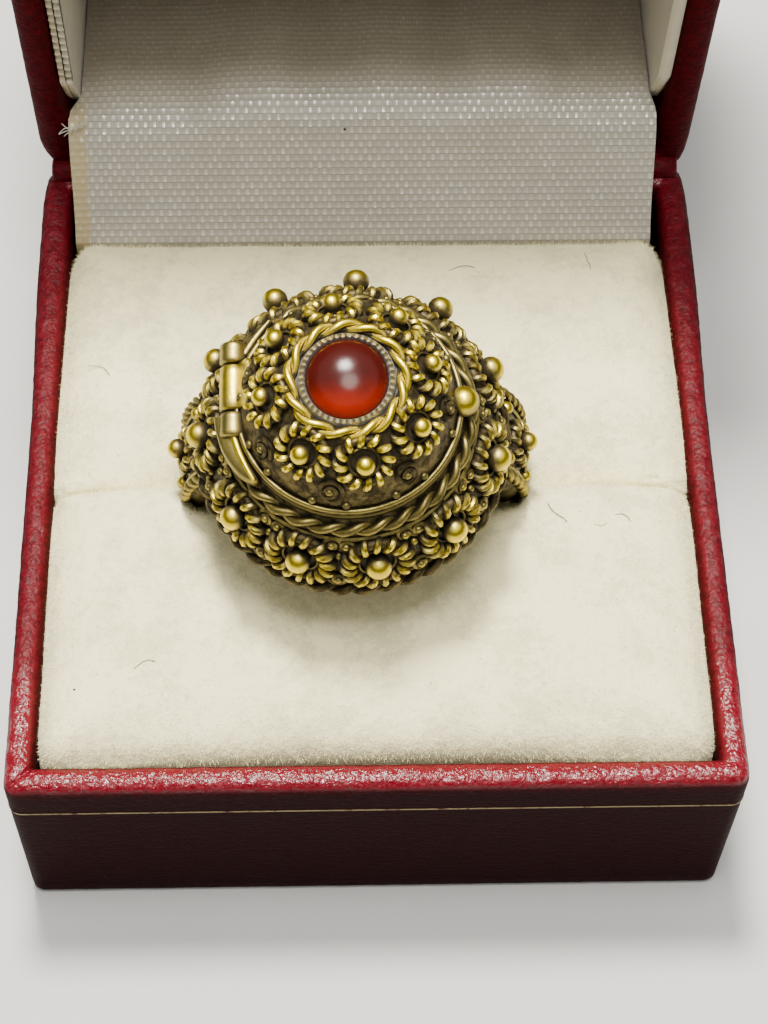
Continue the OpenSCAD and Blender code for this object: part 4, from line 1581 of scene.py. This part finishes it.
def swollen(piece, hold_below):
    """Lets the pads swell as cloth under pressure; each point keeps within the cap of its place."""
    start = np.zeros(len(piece.data.vertices) * 3)
    piece.data.vertices.foreach_get("co", start)
    start = start.reshape(-1, 3)
    mesh = piece.data.copy()
    mesh.transform(Matrix.Scale(SWELL_SCALE, 4))
    pad = bpy.data.objects.new("swelling", mesh)
    scene = bpy.context.scene
    scene.collection.objects.link(pad)
    held = pad.vertex_groups.new(name="held")
    shut = np.abs(start[:, 1] / MM - RING_PLACE.y) < SLOT_HELD
    low = start[:, 2] / MM < hold_below
    held.add(np.nonzero(low | shut)[0].tolist(), 1.0, "REPLACE")
    cloth = pad.modifiers.new("swell", "CLOTH")
    cloth.settings.use_pressure = True
    cloth.settings.uniform_pressure_force = SWELL_PRESSURE
    cloth.settings.effector_weights.gravity = 0
    cloth.settings.vertex_group_mass = "held"
    cloth.settings.quality = 4
    cloth.collision_settings.use_collision = False
    for number in range(1, SWELL_FRAMES + 1):
        scene.frame_set(number)
    shape = pad.evaluated_get(bpy.context.evaluated_depsgraph_get()).data
    end = np.zeros(len(shape.vertices) * 3)
    shape.vertices.foreach_get("co", end)
    move = end.reshape(-1, 3) / SWELL_SCALE - start
    far = np.linalg.norm(move, axis=1, keepdims=True)
    cap = SWELL_CAP * MM
    move *= cap * np.tanh(far / cap) / np.maximum(far, 1e-9)
    bpy.data.objects.remove(pad)
    bpy.data.meshes.remove(mesh)
    scene.frame_set(1)
    piece.data.vertices.foreach_set("co", (start + move).ravel())
    piece.data.update()


def nap(piece, length, count, chance):
    """Short standing fibres on the pads, closer together on the turned edges."""
    mesh = piece.data
    centres, normals, areas = (np.zeros(len(mesh.polygons) * size) for size in (3, 3, 1))
    mesh.polygons.foreach_get("center", centres)
    mesh.polygons.foreach_get("normal", normals)
    mesh.polygons.foreach_get("area", areas)
    centres, normals = centres.reshape(-1, 3) / MM, normals.reshape(-1, 3)
    shown = (centres[:, 2] > RIM_Z - NAP_DEPTH) & (normals[:, 2] > -0.1)
    weight = areas * shown * (1 + 5 * smooth_step(1 - normals[:, 2], 0.03, 0.4))
    pick = chance.choice(len(areas), count, p=weight / weight.sum())
    side = unit(np.cross(normals[pick], chance.normal(size=(count, 3))))
    across = np.cross(normals[pick], side)
    width = np.sqrt(areas[pick])[:, None] / MM
    root = centres[pick] + (side * chance.uniform(-0.6, 0.6, (count, 1)) +
                            across * chance.uniform(-0.6, 0.6, (count, 1))) * width
    lean = unit(normals[pick] + chance.normal(scale=0.45, size=(count, 3)))
    tip = root + lean * length * chance.uniform(0.3, 1.0, (count, 1))
    root = root - normals[pick] * 0.05
    slim = chance.uniform(0.014, 0.026, (count, 1))
    corners = [root + (side * math.cos(turn) + across * math.sin(turn)) * slim
               for turn in FIBRE_CORNERS]
    points = np.stack([*corners, tip], 1).reshape(-1, 3)
    faces = np.array([(0, 1, 3), (1, 2, 3), (2, 0, 3), (2, 1, 0)])
    form = Form()
    form.add(points, triangles=(np.arange(count)[:, None, None] * 4 + faces).reshape(-1, 3))
    return form


def make_cushion(context):
    """Two velvet pads that press together on the ring, with their nap."""
    _, case, cloth, colours = settings(context)
    points = cushion_top(case, cloth)
    for row in points:
        for point in row:
            place = Vector(point)
            point[2] += sum(height * noise.noise(place / wide) for height, wide in PAD_WAVES)
    piece = make_piece("cushion_pads", closed_down(points, case.board + 0.05), soft_angle=80)
    swollen(piece, RIM_Z - HELD_DEPTH)
    velvet = material_once("velvet_nap", velvet_finish, colours)
    ready(piece, "root", "cream_velvet", velvet, "cushion")
    chance = np.random.default_rng(SEED + 2)
    fibres = make_piece("cushion_nap", nap(piece, cloth.nap, cloth.fibres, chance), weld=False)
    ready(fibres, "root", "cream_velvet", velvet)


# Lint that lies on the pads and on the satin


HAIR_STEP = 0.42
HAIR_R = 0.028
SATIN_SPECK = (-1.7, 27.0)
TUFT_PLACE = (-22.9, 27.2, 24.2)
TUFT_THREADS = 9
TUFT_STEPS = 6
TUFT_WIRE = 0.035


def strand(form, start, turns, step, radius, chance):
    """A fine hair that wanders over the surface from a place; turns bend it as it goes."""
    place, heading = Vector(start), chance.uniform(0, 2 * math.pi)
    path = []
    for turn in turns:
        path.append((place.x, place.y, place.z + 0.06 + 0.05 * math.sin(len(path) * 1.1)))
        heading += turn + chance.uniform(-0.12, 0.12)
        place = place + Vector((math.cos(heading), math.sin(heading), 0)) * step
    tube(form, path, radius, 5, wear=0)


# Where each hair starts and how it turns at each step; each speck's place and radius
HAIRS = (((18.9, -7.4), (0.0, 0.5, 0.6, 0.5, 0.3, 0.0, -0.5, -0.8, -0.6, -0.2, 0.2, 0.5, 0.4)),
         ((12.9, -5.9), (0.0, 0.35, 0.3, 0.2, -0.3, -0.35)),
         ((8.4, 16.2), (0.0, 0.3, 0.3, 0.2, 0.1, -0.2)),
         ((-15.6, -18.6), (0.0, 0.4, 0.4, 0.1, -0.2)),
         ((-19.9, 6.1), (0.0, 0.2, 0.5, 0.4, 0.2, 0.1)),
         ((17.6, 16.0), (0.0, 0.4, -0.5, 0.4, -0.3)))
SPECKS = ((-21.2, -20.5, 0.09), (-19.6, -19.5, 0.05), (-13.4, -6.4, 0.05), (3.8, -20.6, 0.05),
          (17.4, -14.0, 0.04), (-8.1, 13.2, 0.05), (14.2, 9.3, 0.04))


def height_under(piece, x, y):
    """Height of a piece's top at a place, all in millimetres."""
    hit, place, _, _ = piece.ray_cast(Vector((x, y, 100)) * MM, Vector((0, 0, -1)))
    return place.z / MM if hit else RIM_Z


def make_lint():
    """Hairs, dark specks and a tuft of white thread at the satin's worn corner."""
    chance = np.random.default_rng(SEED + 4)
    pads, satin = bpy.data.objects["cushion_pads"], bpy.data.objects["satin"]
    hairs, specks = Form(), Form()
    for (x, y), turns in HAIRS:
        strand(hairs, (x, y, height_under(pads, x, y)), turns, HAIR_STEP, HAIR_R, chance)
    for x, y, radius in SPECKS:
        ball(specks, (x, y, height_under(pads, x, y) + radius * 0.5), radius, 0, 6, 8, 0.6)
    ball(specks, (*SATIN_SPECK, height_under(satin, *SATIN_SPECK) + 0.04), 0.13, 0, 6, 8, 0.5)
    grey = lint_finish("grey_hair", 0.16, 0.14, 0.11)
    ready(make_piece("stray_hairs", hairs, weld=False), "root", "cream_velvet", grey)
    black = lint_finish("dark_speck", 0.02, 0.018, 0.016)
    ready(make_piece("specks", specks, weld=False), "root", "cream_velvet", black)
    tuft = Form()
    for index in range(TUFT_THREADS):
        path = [Vector(TUFT_PLACE)]
        heading = Vector((-0.5 + 0.12 * index, -0.4 + 0.05 * index, 0.3)).normalized()
        for _ in range(TUFT_STEPS):
            bend = Vector(chance.normal(scale=0.28, size=3))
            heading = (heading + bend).normalized()
            path.append(path[-1] + heading * 0.3)
        tube(tuft, [tuple(point) for point in path], TUFT_WIRE, 5, wear=0)
    white = lint_finish("white_thread", 0.75, 0.72, 0.64)
    ready(make_piece("thread_tuft", tuft, weld=False), "root", "cream_satin", white)


# The satin's slope past the start of its fold: distances, and degrees from the second on
FOLD_PLACES = (0.0, 0.8, 3.0, 4.5, 6.0, 9.0, 15.0)
FOLD_SLOPES = (34, 20, 6, 0, 0, 4)
FOLD_START = 1.6
FOLD_RUN = 2.5
SATIN_HALF = 23.45
SATIN_STRIPS = 48
FOLD_HALF = 23.0
CORNER_TUCK = 0.45
SAG = 0.3
SAG_RUN = 33.0
RIB_HEIGHT = 0.008


def satin_path(case, cloth):
    """The satin's line from behind the cushion to the lid's front wall, as y and z at rest."""
    top = RIM_Z + lid_height() - case.board - 1.15
    pad_y = HINGE.y - cloth.satin_lift
    front_y = FRONT_Y + case.wall + 1.25
    closed = fillet([(pad_y - 0.1, RIM_Z + 0.6), (pad_y, top), (front_y, top),
                     (front_y, top - 0.6)], [0, 1.4, 0.3, 0])
    turn = -LID_OPEN
    rel = closed - np.array([HINGE.y, HINGE.z])
    opened = np.stack([HINGE.y + rel[:, 0] * math.cos(turn) - rel[:, 1] * math.sin(turn),
                       HINGE.z + rel[:, 0] * math.sin(turn) + rel[:, 1] * math.cos(turn)], -1)
    cushion_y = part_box("cushion")[1].y / MM
    start = [(cushion_y + 0.05, RIM_Z - 2.8), (cushion_y + 0.1, RIM_Z - 0.7)]
    return fillet([*start, *opened], [0, 0.8, 1.2] + [0] * (len(opened) - 1), 9)


def resampled(line, step):
    """Even points along a line, and how far along each one lies."""
    far = np.concatenate([[0], np.cumsum(np.linalg.norm(np.diff(line, axis=0), axis=1))])
    along = np.arange(0, far[-1], step)
    points = np.stack([np.interp(along, far, line[:, axis]) for axis in (0, 1)], -1)
    return points, along


def fold_delay(x):
    """How much further along the satin its fold starts at that place across: it waves a little."""
    late = 1.5 * smooth_step(x, -19, -8) - 0.9 * smooth_step(x, 13, 22) - 0.7
    return late + (0.26 * math.sin(x * 0.62 + 0.6) + 0.12 * math.sin(x * 1.5))


def make_satin(context):
    """One ribbed sheet from behind the cushion over the lid's pad to its front wall."""
    _, case, cloth, colours = settings(context)
    line, along = resampled(satin_path(case, cloth), cloth.weft / 6)
    fold = along[np.argmax(line[:, 0] > HINGE.y)]
    step = np.gradient(line, axis=0)
    slope = np.unwrap(np.arctan2(step[:, 1], step[:, 0]))
    steep = np.interp(fold - 3.0, along, slope)
    bend = [steep, *np.radians(FOLD_SLOPES)]
    across = np.linspace(-1, 1, SATIN_STRIPS)
    past_fold = smooth_step(along, fold, fold + FOLD_RUN)
    half = SATIN_HALF + 0.3 * smooth_step(along, 3, fold) - 1.0 * past_fold
    into = np.clip((along - fold) / SAG_RUN, 0, 1)
    rib = RIB_HEIGHT * np.cos(2 * np.pi * along / cloth.weft)
    columns = []
    for part in across:
        x = part * half - CORNER_TUCK * (1 - past_fold) * max(part, 0) ** 2
        far = along - fold - fold_delay(part * FOLD_HALF) + FOLD_START
        turned = np.interp(far, FOLD_PLACES, bend)
        angle = np.where(far < 0, np.minimum(np.maximum(slope, steep), np.pi / 2 + 0.02), turned)
        angle = np.where(far > FOLD_PLACES[-1], slope, angle)
        walk = np.stack([np.cos(angle), np.sin(angle)], -1) * (along[1] - along[0])
        path = line[0] + np.concatenate([[[0, 0]], np.cumsum(walk[:-1], axis=0)])
        sag = -SAG * (1 - 0.7 * part ** 4) * np.sin(np.pi * into)
        lift = (rib + sag)[:, None] * np.stack([-np.sin(angle), np.cos(angle)], -1)
        columns.append(np.column_stack([x, path + lift]))
    points = np.stack(columns, 1)
    place = np.stack(np.broadcast_arrays(across[None, :] * half[:, None], along[:, None]), -1)
    form = Form()
    form.add(points, grid(*points.shape[:2]), place=place.reshape(-1, 2))
    piece = make_piece("satin", form, soft_angle=80)
    satin = material_once("ribbed_satin", satin_finish, colours, cloth)
    ready(piece, None, "cream_satin", satin, "lid_satin", "hinge_cover")
    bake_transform(piece)


# The stage


CAMERA_PLACE = Vector((-2.93, -90.55, 156.74))
CAMERA_DOWN = math.radians(58.39)
CAMERA_YAW = math.radians(2.54)
CAMERA_ROLL = math.radians(1.58)
FOCAL_PIXELS = 2185
IMAGE_HEIGHT = 1024
SENSOR = 36
FLOOR_REACH = 4.0
ROOM_TINT = (0.9, 0.95, 1.0, 1)
LIGHT_AIM = (0, 0, 20)


def make_camera(context):
    """The camera at the photograph's place and angle."""
    forward = Vector((math.sin(CAMERA_YAW) * math.cos(CAMERA_DOWN),
                      math.cos(CAMERA_YAW) * math.cos(CAMERA_DOWN), -math.sin(CAMERA_DOWN)))
    level = Vector((math.cos(CAMERA_YAW), -math.sin(CAMERA_YAW), 0))
    upward = level.cross(forward)
    right = level * math.cos(CAMERA_ROLL) + upward * math.sin(CAMERA_ROLL)
    up = -level * math.sin(CAMERA_ROLL) + upward * math.cos(CAMERA_ROLL)
    data = bpy.data.cameras.new("camera")
    data.sensor_width = SENSOR
    data.lens = FOCAL_PIXELS / IMAGE_HEIGHT * SENSOR
    data.clip_start = 0.01
    camera = bpy.data.objects.new("camera", data)
    turn = Matrix((right, up, -forward)).transposed().to_4x4()
    camera.matrix_world = Matrix.Translation(CAMERA_PLACE * MM) @ turn
    context.scene.collection.objects.link(camera)
    context.scene.camera = camera


def soft_light(name, place, size, power, tint):
    """A round area light that points at the ring box; place and size are in millimetres."""
    data = bpy.data.lights.new(name, "AREA")
    data.shape = "DISK"
    data.size = size * MM
    data.energy = power
    data.color = tint
    light = bpy.data.objects.new(name, data)
    light.location = Vector(place) * MM
    way = Vector(LIGHT_AIM) - Vector(place)
    light.rotation_euler = way.to_track_quat("-Z", "Y").to_euler()
    bpy.context.scene.collection.objects.link(light)


def make_stage(context):
    """A plain pale floor, a key light above and behind, a lamp and a wide light overhead."""
    scene = context.scene
    lights = scene.ring_light
    floor = bpy.data.meshes.new("floor")
    corners = [(x * FLOOR_REACH, y * FLOOR_REACH, 0) for x, y in ((-1, -1), (1, -1), (1, 1), (-1, 1))]
    floor.from_pydata(corners, [], [(0, 1, 2, 3)])
    floor.materials.append(floor_finish(scene.ring_finishes))
    ground = bpy.data.objects.new("floor", floor)
    scene.collection.objects.link(ground)
    world = scene.world or bpy.data.worlds.new("room")
    scene.world = world
    world.use_nodes = True
    background = world.node_tree.nodes["Background"]
    background.inputs["Color"].default_value = ROOM_TINT
    background.inputs["Strength"].default_value = lights.room
    soft_light("key", (-25, 82, 350), 70, lights.key, (1.0, 0.94, 0.84))
    soft_light("lamp", (4, -40, 350), 110, lights.lamp, (1.0, 0.96, 0.88))
    soft_light("ceiling", (0, -40, 560), 1200, lights.ceiling, (1.0, 0.97, 0.92))


# The add-on's operators and panel


class RING_OT_body(bpy.types.Operator):
    """Makes the ring's shank, shoulders and cup with their wires and granules"""
    bl_idname = "ring.body"
    bl_label = "Ring body"

    def execute(self, context):
        make_ring_body(context)
        return {"FINISHED"}


class RING_OT_dome(bpy.types.Operator):
    """Makes the hinged dome and its hinge pin"""
    bl_idname = "ring.dome"
    bl_label = "Hinged dome"

    def execute(self, context):
        make_ring_lid(context)
        make_ring_pin(context)
        return {"FINISHED"}


class RING_OT_stone(bpy.types.Operator):
    """Makes the round carnelian"""
    bl_idname = "ring.stone"
    bl_label = "Stone"

    def execute(self, context):
        make_stone(context)
        return {"FINISHED"}


class RING_OT_box(bpy.types.Operator):
    """Makes the covered base and lid of the box with the tooled line and the hinge pin's finish"""
    bl_idname = "ring.box"
    bl_label = "Box"

    def execute(self, context):
        make_case_base(context)
        make_tooled_line(context)
        make_case_lid(context)
        dress_hinge_pin(context)
        return {"FINISHED"}


class RING_OT_linings(bpy.types.Operator):
    """Makes the card lining and the satin of the lid"""
    bl_idname = "ring.linings"
    bl_label = "Lid linings"

    def execute(self, context):
        make_lid_lining(context)
        make_satin(context)
        return {"FINISHED"}


class RING_OT_cushion(bpy.types.Operator):
    """Makes the velvet cushion with its slot"""
    bl_idname = "ring.cushion"
    bl_label = "Cushion"

    def execute(self, context):
        make_cushion(context)
        return {"FINISHED"}


class RING_OT_lint(bpy.types.Operator):
    """Makes the hairs, specks and loose threads on the cloth"""
    bl_idname = "ring.lint"
    bl_label = "Lint"

    def execute(self, context):
        make_lint()
        return {"FINISHED"}


class RING_OT_stage(bpy.types.Operator):
    """Makes the floor, the light and the camera"""
    bl_idname = "ring.stage"
    bl_label = "Stage, light and camera"

    def execute(self, context):
        make_camera(context)
        make_stage(context)
        return {"FINISHED"}


OPERATORS = (RING_OT_body, RING_OT_dome, RING_OT_stone, RING_OT_box, RING_OT_linings,
             RING_OT_cushion, RING_OT_lint, RING_OT_stage)
GROUPS = {"ring_filigree": FiligreeSizes, "ring_case": CaseSizes, "ring_cloth": ClothSizes,
          "ring_finishes": Finishes, "ring_light": StudioLight}


class RING_PT_panel(bpy.types.Panel):
    """Lists the pieces and their sizes and colours"""
    bl_idname = "RING_PT_panel"
    bl_label = "Poison ring"
    bl_space_type = "VIEW_3D"
    bl_region_type = "UI"
    bl_category = "Ring"

    def draw(self, context):
        for operator in OPERATORS:
            self.layout.operator(operator.bl_idname)
        for name, group in GROUPS.items():
            box = self.layout.box()
            for setting in group.__annotations__:
                box.prop(getattr(context.scene, name), setting)


def register():
    for part in (*GROUPS.values(), *OPERATORS, RING_PT_panel):
        bpy.utils.register_class(part)
    for name, group in GROUPS.items():
        setattr(bpy.types.Scene, name, PointerProperty(type=group))


def unregister():
    for name in GROUPS:
        delattr(bpy.types.Scene, name)
    for part in (RING_PT_panel, *OPERATORS, *GROUPS.values()):
        bpy.utils.unregister_class(part)


def main():
    """Makes every piece and the stage."""
    register()
    for operator in OPERATORS:
        group, name = operator.bl_idname.split(".")
        getattr(getattr(bpy.ops, group), name)()


if __name__ == "__main__":
    main()
